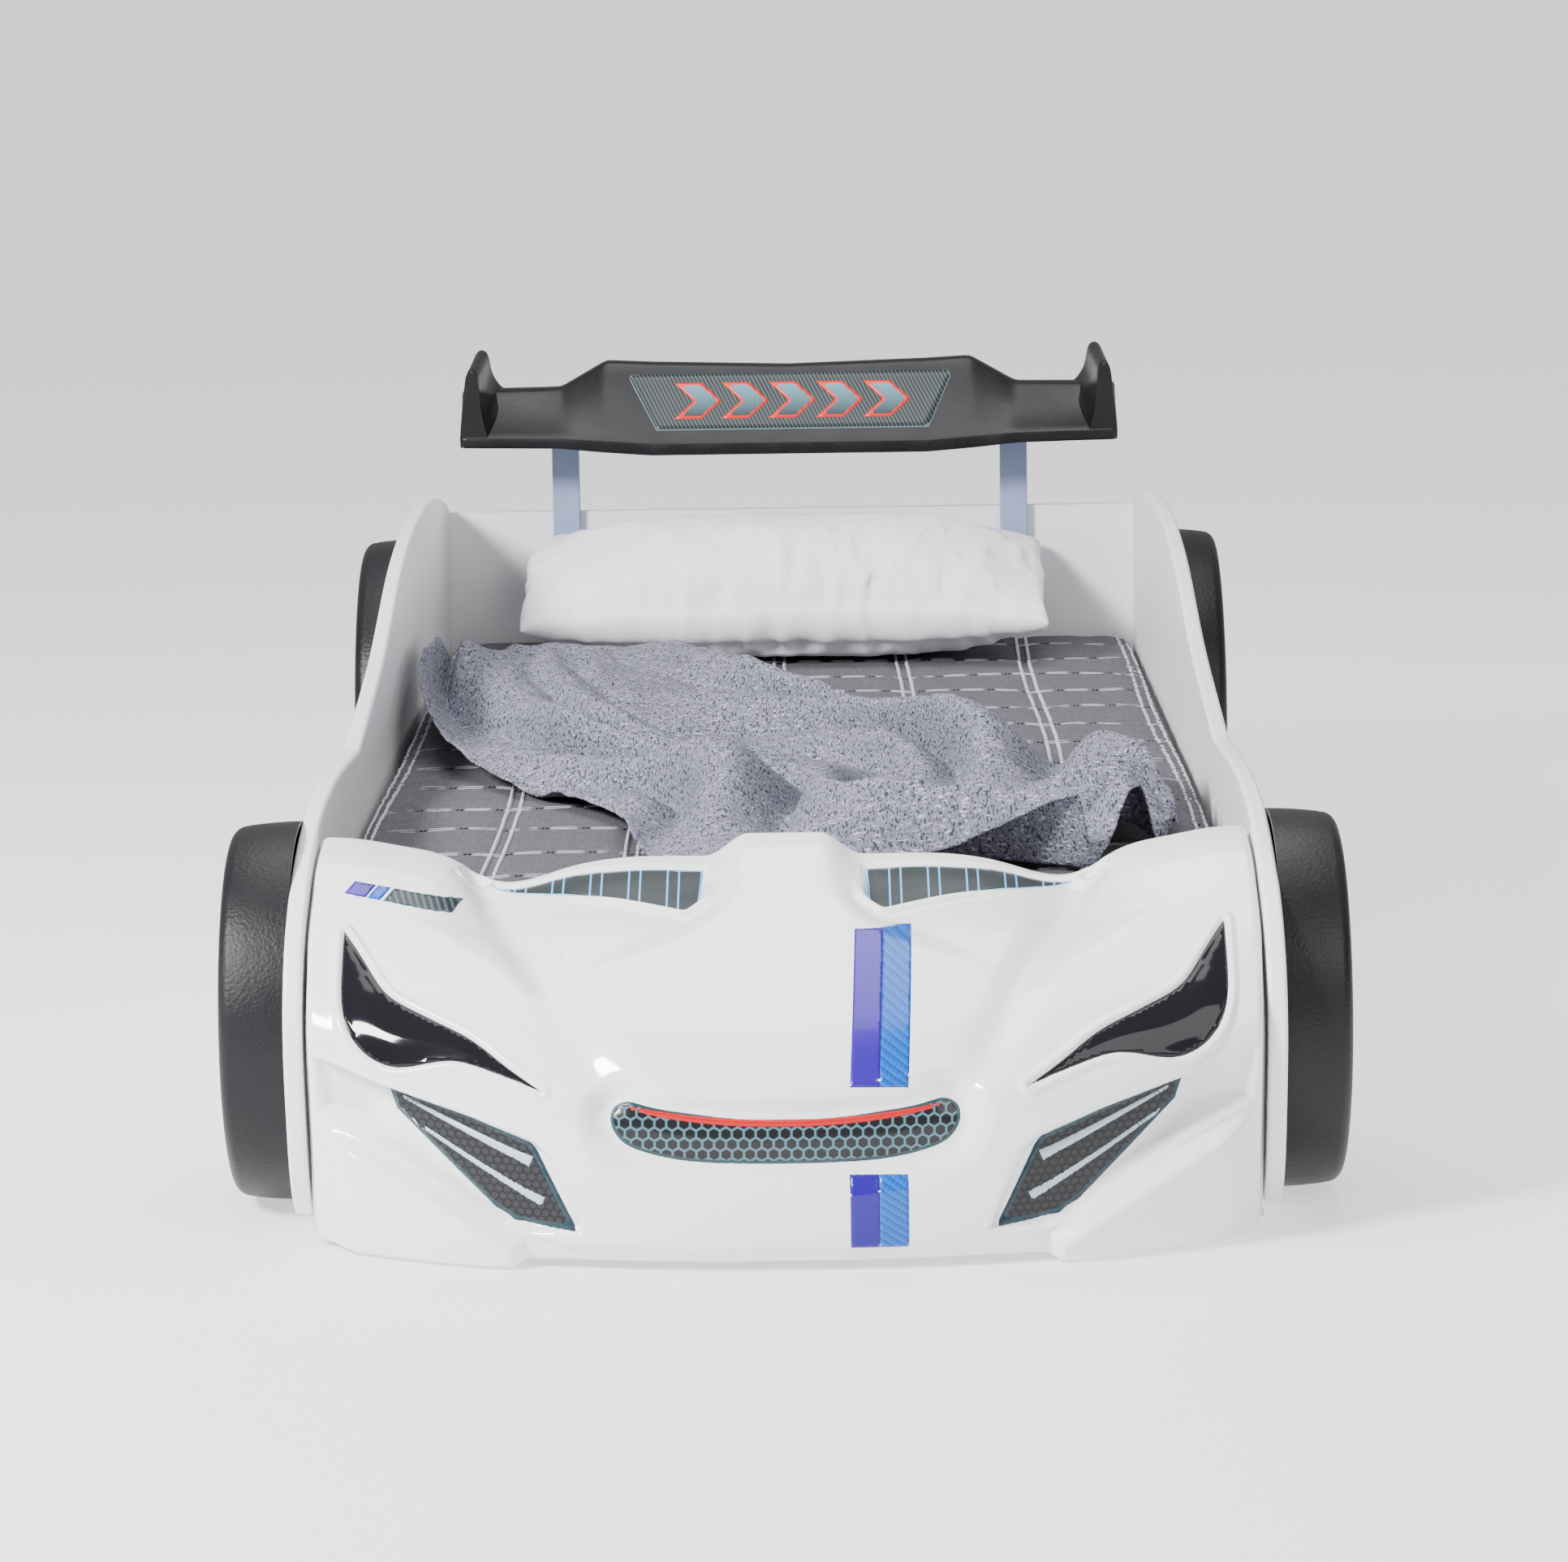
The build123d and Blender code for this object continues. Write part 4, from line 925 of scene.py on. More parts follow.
    def surface(self, flat: Array) -> Surface:
        """Place points on the moulded surface.

        Args:
            flat: N rows of X and distance down the slope.

        Returns:
            Points and outward normals.
        """
        column = np.clip((flat[:, 0] / self.half_width + 1) / 2 * (self.columns - 1), 0, self.columns - 1.001)
        length = np.interp(flat[:, 0], self.points[:, 0, 0], self.lengths)
        row = np.clip(flat[:, 1] / length * (self.rows - 1), 0, self.rows - 1.001)
        i, j = column.astype(int), row.astype(int)
        di, dj = (column - i)[:, None], (row - j)[:, None]
        blended = [(table[i, j] * (1 - di) + table[i + 1, j] * di) * (1 - dj)
                   + (table[i, j + 1] * (1 - di) + table[i + 1, j + 1] * di) * dj
                   for table in (self.points, self.normals)]
        normals = blended[1] / np.linalg.norm(blended[1], axis=1)[:, None]
        return blended[0] + normals * self.relief(flat)[:, None], normals

    def build_shell(self) -> bpy.types.Object:
        """Mould the shell, with its rolled rear edge and its side returns."""
        shares = np.linspace(0, 1, self.rows)
        flat = np.stack([np.repeat(self.points[:, 0, 0], self.rows),
                         (self.lengths[:, None] * shares[None]).ravel()], axis=1)
        points = (self.points.reshape(-1, 3) + self.normals.reshape(-1, 3) * self.relief(flat)[:, None])
        points = points.reshape(self.columns, self.rows, 3)
        rear = points[:, :1] + np.array([[[0, 0.5, -20.0]], [[0, 0.8, -6.0]]]).transpose(1, 0, 2)
        points = np.concatenate([rear, points], axis=1)
        sides = []
        for end, sign in ((0, -1), (-1, 1)):
            wall = []
            for back in (14.0, 60.0, 110.0):
                moved = points[end].copy()
                moved[:, 0] = sign * self.half_width
                moved[:, 1] = np.minimum(moved[:, 1] + back, self.foot_y + 1)
                wall.append(moved)
            sides.append(np.array(wall[::-1] if end == 0 else wall))
        points = np.concatenate([sides[0], points, sides[1]], axis=0)
        count, width = points.shape[:2]
        shell = make_mesh("nose_shell", points.reshape(-1, 3), grid_faces(count, width), 180)
        thicken(shell, self.wall)
        return shell

    def dress(self) -> None:
        """Build and finish the shell and everything let into it."""
        fit(self.build_shell(), "frame", WHITE_ABS, ("hood_shell",))
        for side in Side:
            for name, thickness, dome, slot, finish in (
                    ("headlight", 2.2, 2.0, "smoked_acrylic", SMOKED_ACRYLIC),
                    ("intake", 0.8, 0.6, "printed_grille_film", INTAKE_FILM),
                    ("vent", 0.8, 0.5, "printed_grille_film", VENT_FILM)):
                outline = self.outlines[name] * (side.value, 1)
                piece = film_piece(f"{name}_{side.name.lower()}_cover", outline, 4.0, self.surface, thickness, dome)
                node = {"intake": "intake_panel"}.get(name, name)
                fit(piece, "frame", finish, (f"{node}_{side.name.lower()}",))
            self.dress_blades(side)
        grille = film_piece("grille_cover", self.outlines["grille"], 4.0, self.surface, 0.8, 1.2)
        fit(grille, "frame", GRILLE_FILM, ("grille_panel",))
        half = self.grille_half
        brow = [(x, 149 + 18 * (x / half) ** 2 - 0.6) for x in np.linspace(-half + 13, half - 13, 48)]
        trim = brow + [(x, z - 7.5 * (1 - abs(x / half) ** 6)) for x, z in reversed(brow)]
        red = film_piece("grille_red_strip", self.down(trim), 3.0, self.surface, 2.2)
        fit(red, "frame", RED_FILM, ("grille_trim",))
        for name, sign, slot, finish in (("violet", -1, "violet_film", VIOLET_FILM),
                                         ("blue", 1, "blue_film", BLUE_FILM)):
            for number, ((top_x, top_z), (end_x, end_z)) in enumerate(self.stripe_runs, start=1):
                wide = sign * self.stripe_width
                outline = [(top_x, top_z), (top_x + wide, top_z), (end_x + wide, end_z), (end_x, end_z)]
                piece = film_piece(f"stripe_{name}_{number}", self.down(outline), 2.6, self.surface, 0.5)
                fit(piece, "frame", finish, (f"stripe_{name}",))
        for number, (start, width, slot, finish) in enumerate(
                ((-421, 20, "blue_film", VIOLET_FILM), (-399, 12, "blue_film", BLUE_FILM),
                 (-384, 66, "blue_film", BADGE_FILM)), start=1):
            drop = (start + 421) * 0.2
            outline = [(start, 324 - drop), (start + 9, 332 - drop), (start + width + 9, 332 - drop - width * 0.2),
                       (start + width, 324 - drop - width * 0.2)]
            piece = film_piece(f"side_badge_{number}", self.down(outline), 3.0, self.surface, 0.3)
            fit(piece, "frame", finish, ("side_badge",))

    def dress_blades(self, side: Side) -> None:
        """Lay the two silver blades across one intake."""
        for number, (start, end) in enumerate((((372, 158), (243, 107)), ((362, 134), (232, 68))), start=1):
            (ax, az), (bx, bz) = start, end
            outline = [(ax, az), (ax - 4, az - 6), (bx - 2, bz - 9), (bx - 6, bz + 2)]
            piece = film_piece(f"intake_{side.name.lower()}_blade_{number}",
                               self.down([(side.value * x, z) for x, z in outline]), 3.0, self.surface, 2.0)
            fit(piece, "frame", BLADE_FILM)


# ---------------------------------------------------------------- wheels
def lathe(name: str, profile: Outline, centre: Vector, side: Side, turns: int = 160) -> bpy.types.Object:
    """Turn a closed profile about a wheel's axle.

    Args:
        name: Name of the piece.
        profile: Points of distance out from the board and radius.
        centre: Middle of the wheel at the board's face, in millimetres.
        side: Side of the bed.
        turns: Points round the wheel.

    Returns:
        The piece.
    """
    angles = np.linspace(0, 2 * np.pi, turns, endpoint=False)
    rows = np.array(profile, float)
    points = np.stack([np.broadcast_to(centre.x + side.value * rows[:, 0][:, None], (len(rows), turns)),
                       centre.y + rows[:, 1][:, None] * np.cos(angles)[None],
                       centre.z + rows[:, 1][:, None] * np.sin(angles)[None]], axis=2)
    faces = grid_faces(len(rows), turns, wrap_rows=True, wrap_columns=True)
    if side is Side.RIGHT:
        faces = turned(faces)
    return make_mesh(name, points.reshape(-1, 3), faces, 50)


@dataclass
class Wheel:
    """One moulded wheel cover: a hollow tyre with its rim inside."""

    axle: str
    side: Side
    wall: float = 4.0
    shoulder: float = 14.0
    taper: float = 4.0
    rim_share: float = 0.62

    def dress(self) -> None:
        """Turn the tyre, with its lip at the rim, and finish it."""
        name = f"{self.axle}_{self.side.name.lower()}"
        low, high = (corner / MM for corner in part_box(f"tyre_{name}"))
        radius, width = (high.z - low.z) / 2, high.x - low.x
        board_x = low.x if self.side is Side.RIGHT else high.x
        centre = Vector((board_x, (low.y + high.y) / 2, (low.z + high.z) / 2))
        crown, rim = radius - self.taper, radius * self.rim_share
        arc = [(width - self.shoulder + self.shoulder * math.sin(t), crown - self.shoulder * (1 - math.cos(t)))
               for t in np.linspace(0, math.pi / 2, 9)]
        face = crown - self.shoulder
        ribs = []
        for middle in (face - 10, rim + 16):       # two raised rings on the sidewall
            ribs += [(width - 2.0, middle + 4.5), (width, middle + 3.0), (width, middle - 3.0),
                     (width - 2.0, middle - 4.5)]
        lip = [(width - 1.0, rim + 5), (width, rim + 2.5), (width - 1.0, rim), (width - self.wall, rim)]
        inside = [(width - self.wall, face), (width - self.shoulder, crown - self.wall), (0, radius - self.wall)]
        tread = [(0, radius)] + [(width * share * 0.78, radius - self.taper * share ** 2 * 0.9)
                                 for share in (0.25, 0.5, 0.75, 0.95)]
        tyre = lathe(f"tyre_{name}_cover", tread + arc + ribs + lip + inside, centre, self.side)
        fit(tyre, "frame", TYRE_PLASTIC, (f"tyre_{name}",))


# ---------------------------------------------------------------- wing
@dataclass
class Wing:
    """Rear wing with its upright fins, sign and chevrons; the posts under it are the frame's own pieces."""

    base: float = 551.0
    lip: float = 13.0
    # Distance from the middle, rise of the underside, height of the top edge over the middle's underside.
    stations: tuple = ((0, 0, 111), (180, 0, 116), (240, 4.5, 119), (300, 10.5, 85), (372, 12, 84), (430, 13, 84))
    columns: int = 173
    # Outlines of an upright fin at the wing's front and back, from the outer foot over the crest to the inner foot:
    # distance from the wing's end, and height.
    fin_front: tuple = ((0, 13), (0, 30), (3, 60), (7, 95), (9, 106), (12, 112), (17, 114), (22, 111), (25, 104),
                        (27, 88), (29, 66), (32, 45), (36, 28), (32, 15))
    fin_back: tuple = ((0, 13), (-2, 26), (5, 70), (14, 116), (18, 130), (22, 134), (26, 135), (31, 133), (35, 125),
                       (39, 106), (46, 92), (56, 83), (68, 76), (60, 36))
    sign: tuple = ((-213, 103), (219, 105), (184, 32), (-173, 32))
    # A chevron's corners from its own left end, how many there are, and how far apart.
    chevron: tuple = ((0, 46), (36, 46), (62, 68), (36, 90), (0, 90), (26, 68))
    chevrons: int = 5
    chevron_start: float = -150.0
    chevron_pitch: float = 62.0
    film: float = 0.8

    def __post_init__(self) -> None:
        """Read the wing's depth from the frame."""
        low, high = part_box("wing")
        self.front, self.back, self.half = low.y / MM, high.y / MM, high.x / MM
        fine = np.linspace(0, self.half, 216)
        rows = np.array(self.stations, float)
        kernel = np.hanning(11)[1:-1] / np.hanning(11)[1:-1].sum()
        self.fine = fine
        self.rise, self.top = (np.convolve(np.pad(np.interp(fine, rows[:, 0], rows[:, k]), 4, mode="edge"),
                                           kernel, mode="valid") for k in (1, 2))

    def profile(self, x: float) -> list[tuple[float, float]]:
        """Corners (Y, Z) of the section at x: lip, sloping face, top, back and underside."""
        low = self.base + np.interp(abs(x), self.fine, self.rise)
        high = self.base + np.interp(abs(x), self.fine, self.top)
        return [(self.front, low), (self.front, low + self.lip), (self.back - 20, high), (self.back, high),
                (self.back, low + 18), (self.front + 25, low)]

    def section(self, x: float) -> Array:
        """Rounded section at x, the face hollowed a little, always with the same number of points."""
        corners, radii = self.profile(x), (3, 4, 9, 4, 5, 9)
        points = []
        for i, (corner, radius) in enumerate(zip(corners, radii)):
            here = np.array(corner)
            before, after = (np.array(corners[i - 1]), np.array(corners[(i + 1) % 6]))
            enter = here + (before - here) / np.linalg.norm(before - here) * radius
            leave = here + (after - here) / np.linalg.norm(after - here) * radius
            points += [enter * (1 - t) ** 2 + here * 2 * t * (1 - t) + leave * t * t for t in np.linspace(0, 1, 6)]
            if i == 1:
                slope = (after - here) / np.linalg.norm(after - here)
                end = after - slope * radii[2]
                inward = np.array((slope[1], -slope[0]))
                points += [leave + (end - leave) * t + inward * 2.5 * math.sin(math.pi * t)
                           for t in np.linspace(0.1, 0.9, 9)]
        return np.array([(x, y, z) for y, z in points])

    def face(self, flat: Array) -> Surface:
        """Place points on the sloping face.

        Args:
            flat: N rows of X and height.

        Returns:
            Points and outward normals.
        """
        points, normals = [], []
        for x, z in flat:
            corners = self.profile(x)
            (y0, z0), (y1, z1) = corners[1], corners[2]
            share = (z - z0) / (z1 - z0)
            length = math.hypot(y1 - y0, z1 - z0)
            out = np.array((0, -(z1 - z0) / length, (y1 - y0) / length))
            points.append(np.array((x, y0 + (y1 - y0) * share, z)) - out * 2.5 * math.sin(math.pi * share))
            normals.append(out)
        return np.array(points), np.array(normals)

    def build_blade(self) -> Array:
        """Sections of the body from one end to the other, rounded at both ends."""
        sections = []
        for x in np.linspace(-self.half, self.half, self.columns):
            section = self.section(x)
            end = max(0.0, 5.0 - (self.half - abs(x)))
            middle = section.mean(0)
            section[:, 1:] = middle[1:] + (section[:, 1:] - middle[1:]) * (1 - 0.02 * end)
            sections.append(section)
        return np.array(sections)

    def build_fin(self, side: Side) -> bpy.types.Object:
        """One upright fin: a thin crest over a hollow that runs into the wing."""
        corners = len(self.fin_front)
        rings = [cubic(np.arange(corners + 1.0), np.array(line + line[:1], float),
                       np.linspace(0, corners, 96, endpoint=False)) for line in (self.fin_front, self.fin_back)]
        loops = []
        for share in np.r_[0.0, 0.015, 0.05, np.linspace(0.12, 0.9, 12), 0.97, 1.0]:
            inset = 1 - 0.05 * (1 - min(1.0, min(share, 1 - share) / 0.05)) ** 2
            ring = rings[0] + (rings[1] - rings[0]) * share
            middle = ring.mean(0)
            shape = middle + (ring - middle) * inset
            y = self.front + 2 + (self.back - self.front - 4) * share
            loops.append(np.stack([side.value * (self.half - np.maximum(shape[:, 0], 0.5)), np.full(len(ring), y),
                                   self.base + shape[:, 1]], axis=1))
        faces = closed_faces(len(loops), len(loops[0]))
        if side is Side.LEFT:
            faces = turned(faces)
        return make_mesh(f"wing_fin_{side.name.lower()}", np.concatenate(loops), faces, 45)

    def dress(self) -> None:
        """Build and finish the wing and its sign."""
        sections = self.build_blade()
        wing = make_mesh("wing_body", sections.reshape(-1, 3), closed_faces(*sections.shape[:2]), 35)
        fit(wing, "frame", WING_PLASTIC, ("wing",))
        for side in Side:
            fit(self.build_fin(side), "frame", WING_PLASTIC)
        outline = densify([(x, self.base + z) for x, z in self.sign], 6.0)
        fit(film_piece("wing_sign", outline, 8.0, self.face, self.film), "frame", SIGN_FILM,
            ("wing_panel",))
        for number in range(self.chevrons):
            left = self.chevron_start + self.chevron_pitch * number
            outline = densify([(left + x, self.base + z) for x, z in self.chevron], 4.0)
            fit(film_piece(f"wing_chevron_{number + 1}", outline, 4.0, self.over_sign, 0.5), "frame",
                CHEVRON_FILM)

    def over_sign(self, flat: Array) -> Surface:
        """The sloping face as it lies on top of the sign's film."""
        points, normals = self.face(flat)
        return points + normals * self.film, normals


# ---------------------------------------------------------------- bedding
@dataclass
class Mattress:
    """Foam mattress in ticking, with piped edges; it shows between the slats."""

    corner: float = 45.0

    def dress(self) -> None:
        """Loft the mattress from its bottom piping to its top."""
        low, high = (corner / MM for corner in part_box("mattress"))
        middle, half = (low + high) / 2, (high - low) / 2
        edge = [(18, 0), (6, 1.5), (1.5, 6), (3.5, 12), (4.0, 16)]
        swell = [(2.5 - 2.0 * math.sin(math.pi * t), 16 + (half.z * 2 - 32) * t) for t in np.linspace(0.1, 0.9, 7)]
        steps = edge + swell + [(inset, half.z * 2 - z) for inset, z in reversed(edge)]
        loops = []
        for inset, z in [(half.x - 2, 0.5), (60, 0.2)] + steps + [(60, half.z * 2), (half.x - 2, half.z * 2 - 0.5)]:
            loops.append(self.loop(middle, half.x - inset, half.y - min(inset, half.y - 4), low.z + z))
        piece = make_mesh("mattress_cover", np.concatenate(loops), closed_faces(len(loops), len(loops[0])), 50)
        fit(piece, "mattress_body", TICKING, ("mattress",))

    def loop(self, middle: Vector, half_x: float, half_y: float, z: float) -> Array:
        """Rounded rectangle at one height."""
        radius = max(min(self.corner, half_x - 1, half_y - 1), 0.5)
        points = []
        for turn in range(4):
            sx, sy = ((1, -1), (1, 1), (-1, 1), (-1, -1))[turn]
            start = (turn - 1) * math.pi / 2
            points += [(middle.x + sx * (half_x - radius) + radius * math.cos(start + a),
                        middle.y + sy * (half_y - radius) + radius * math.sin(start + a), z)
                       for a in np.linspace(0, math.pi / 2, 8)]
            run = (2 * (half_y - radius), 2 * (half_x - radius))[turn % 2]
            ax, ay, _ = points[-1]
            across = (0, 1, 0), (-1, 0, 0), (0, -1, 0), (1, 0, 0)
            dx, dy, _ = across[turn]
            points += [(ax + dx * run * s, ay + dy * run * s, z) for s in np.linspace(0, 1, 30)[1:-1]]
        return np.array(points)


@dataclass
class Bedspread:
    """Quilted cotton spread pulled over the mattress: rope-stitched lines along it, dashed rows across it."""

    turn: float = 16.0           # radius at the mattress edge
    drop: float = 62.0
    step: float = 7.0
    rope_lines: tuple = (-439, -298, -156, -14, 143, 302, 436)
    row_pitch: float = 142.0
    first_row: float = 92.0      # ahead of the headboard

    def __post_init__(self) -> None:
        """Read the cover's box from the frame."""
        low, high = (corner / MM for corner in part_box("bedspread"))
        self.middle, self.half, self.top = (low + high) / 2, (high - low) / 2, high.z - 0.6
        self.rows = [high.y - self.first_row - self.row_pitch * i
                     for i in range(int((2 * self.half.y - self.first_row) / self.row_pitch) + 1)]

    def sag(self, points: Array) -> Array:
        """How far the cloth lies under its highest level: quilted valleys, puckers and pull lines."""
        x, y = points[:, 0], points[:, 1]
        seams = np.min([np.abs(x - line - 3 * np.sin(y / 170 + line)) for line in self.rope_lines], axis=0)
        cross = np.min([np.abs(y - row - 4 * np.sin(x / 90 + row)) for row in self.rows], axis=0)
        depth = 3.0 * np.exp(-(seams / 13) ** 2) + 1.4 * np.exp(-(cross / 9) ** 2)
        flat = np.stack([x, y, np.zeros_like(x)], axis=1)
        depth += 1.6 * (1 + rough(flat, (130, 60, 100), 3.0, 3))
        near_edge = np.exp(-((self.half.x - np.abs(x)) / 75) ** 2)
        pulls = np.abs(rough(flat, (70, 16, 50), 9.0, 2))
        depth += 4.5 * near_edge * np.clip(pulls * 1.8, 0, 1)
        return depth

    def place(self, flat: Array) -> Array:
        """Lay flat cloth over the mattress.

        Args:
            flat: N rows of X and Y on the cloth, outside the mattress where it turns down.

        Returns:
            Points in millimetres.
        """
        result = np.zeros((len(flat), 3))
        down = np.zeros(len(flat))
        for axis, half in ((0, self.half.x), (1, self.half.y)):
            middle = self.middle[axis]
            out = np.abs(flat[:, axis] - middle) - (half - self.turn)
            angle = np.clip(out / self.turn, 0, math.pi / 2)
            past = np.maximum(out - self.turn * math.pi / 2, 0)
            reach = np.where(out > 0, half - self.turn + self.turn * np.sin(angle), out + half - self.turn)
            result[:, axis] = middle + np.sign(flat[:, axis] - middle) * reach
            down = np.maximum(down, np.where(out > 0, self.turn * (1 - np.cos(angle)) + past, 0))
        result[:, 2] = self.top - down
        result[:, 2] -= self.sag(result) * np.exp(-down / 30)
        return result

    def dress(self) -> None:
        """Build the cloth and its stitching."""
        reach = self.turn * (math.pi / 2 - 1) + self.drop - self.turn
        across = np.arange(self.middle.x - self.half.x - reach, self.middle.x + self.half.x + reach, self.step)
        along = np.arange(self.middle.y - self.half.y - reach, self.middle.y + self.half.y + reach, self.step)
        flat = np.stack([np.repeat(across, len(along)), np.tile(along, len(across))], axis=1)
        cover = make_mesh("bedspread_cover", self.place(flat), turned(grid_faces(len(across), len(along))), 180)
        thicken(cover, 1.6)
        starts, ends = self.rope_stitches()
        ropes = make_mesh("bedspread_rope_stitching", *capsules(starts, ends, 1.6), 180)
        starts, ends, ticks = self.dashes()
        dashes = make_mesh("bedspread_dash_stitching", *capsules(starts, ends, 0.65), 180)
        dark = make_mesh("bedspread_dark_ticks", *capsules(*ticks, 0.8), 180)
        fit(cover, "mattress_body", QUILT, ("bedspread",))
        for stitching, finish in ((ropes, THREAD), (dashes, THREAD), (dark, DARK_THREAD)):
            fit(stitching, "mattress_body", finish)

    def rope_stitches(self) -> tuple[Array, Array]:
        """Ends of the twisted stitches, two rows to a line."""
        starts, ends = [], []
        along = np.arange(self.middle.y - self.half.y + 6, self.middle.y + self.half.y - 6, 9.5)
        for line in self.rope_lines:
            wave = 3 * np.sin(along / 170 + line)
            for offset in (-6.3, 6.3):
                starts.append(np.stack([line + wave + offset - 1.6, along], axis=1))
                ends.append(np.stack([line + wave + offset + 1.6, along + 7.6], axis=1))
        lift = np.array((0, 0, 1.0))
        return self.place(np.concatenate(starts)) + lift, self.place(np.concatenate(ends)) + lift

    def dashes(self) -> tuple[Array, Array, tuple[Array, Array]]:
        """Ends of the double dashes across the cloth, and of the dark ticks that join them."""
        starts, ends, ticks, tick_ends = [], [], [], []
        across = np.arange(-self.half.x + 14, self.half.x - 40, 43.0)
        for number, row in enumerate(self.rows):
            shift = 13 * (number % 3)
            wave = row + 4 * np.sin((across + shift) / 90 + row)
            for offset in (-4.6, 4.6):
                starts.append(np.stack([across + shift, wave + offset], axis=1))
                ends.append(np.stack([across + shift + 30, wave + offset + 1.0], axis=1))
            for gap in (34.0, 38.5):
                ticks.append(np.stack([across + shift + gap, wave - 3.0], axis=1))
                tick_ends.append(np.stack([across + shift + gap + 3.0, wave + 3.0], axis=1))
        lift = np.array((0, 0, 0.35))
        return (self.place(np.concatenate(starts)) + lift, self.place(np.concatenate(ends)) + lift,
                (self.place(np.concatenate(ticks)) + lift, self.place(np.concatenate(tick_ends)) + lift))


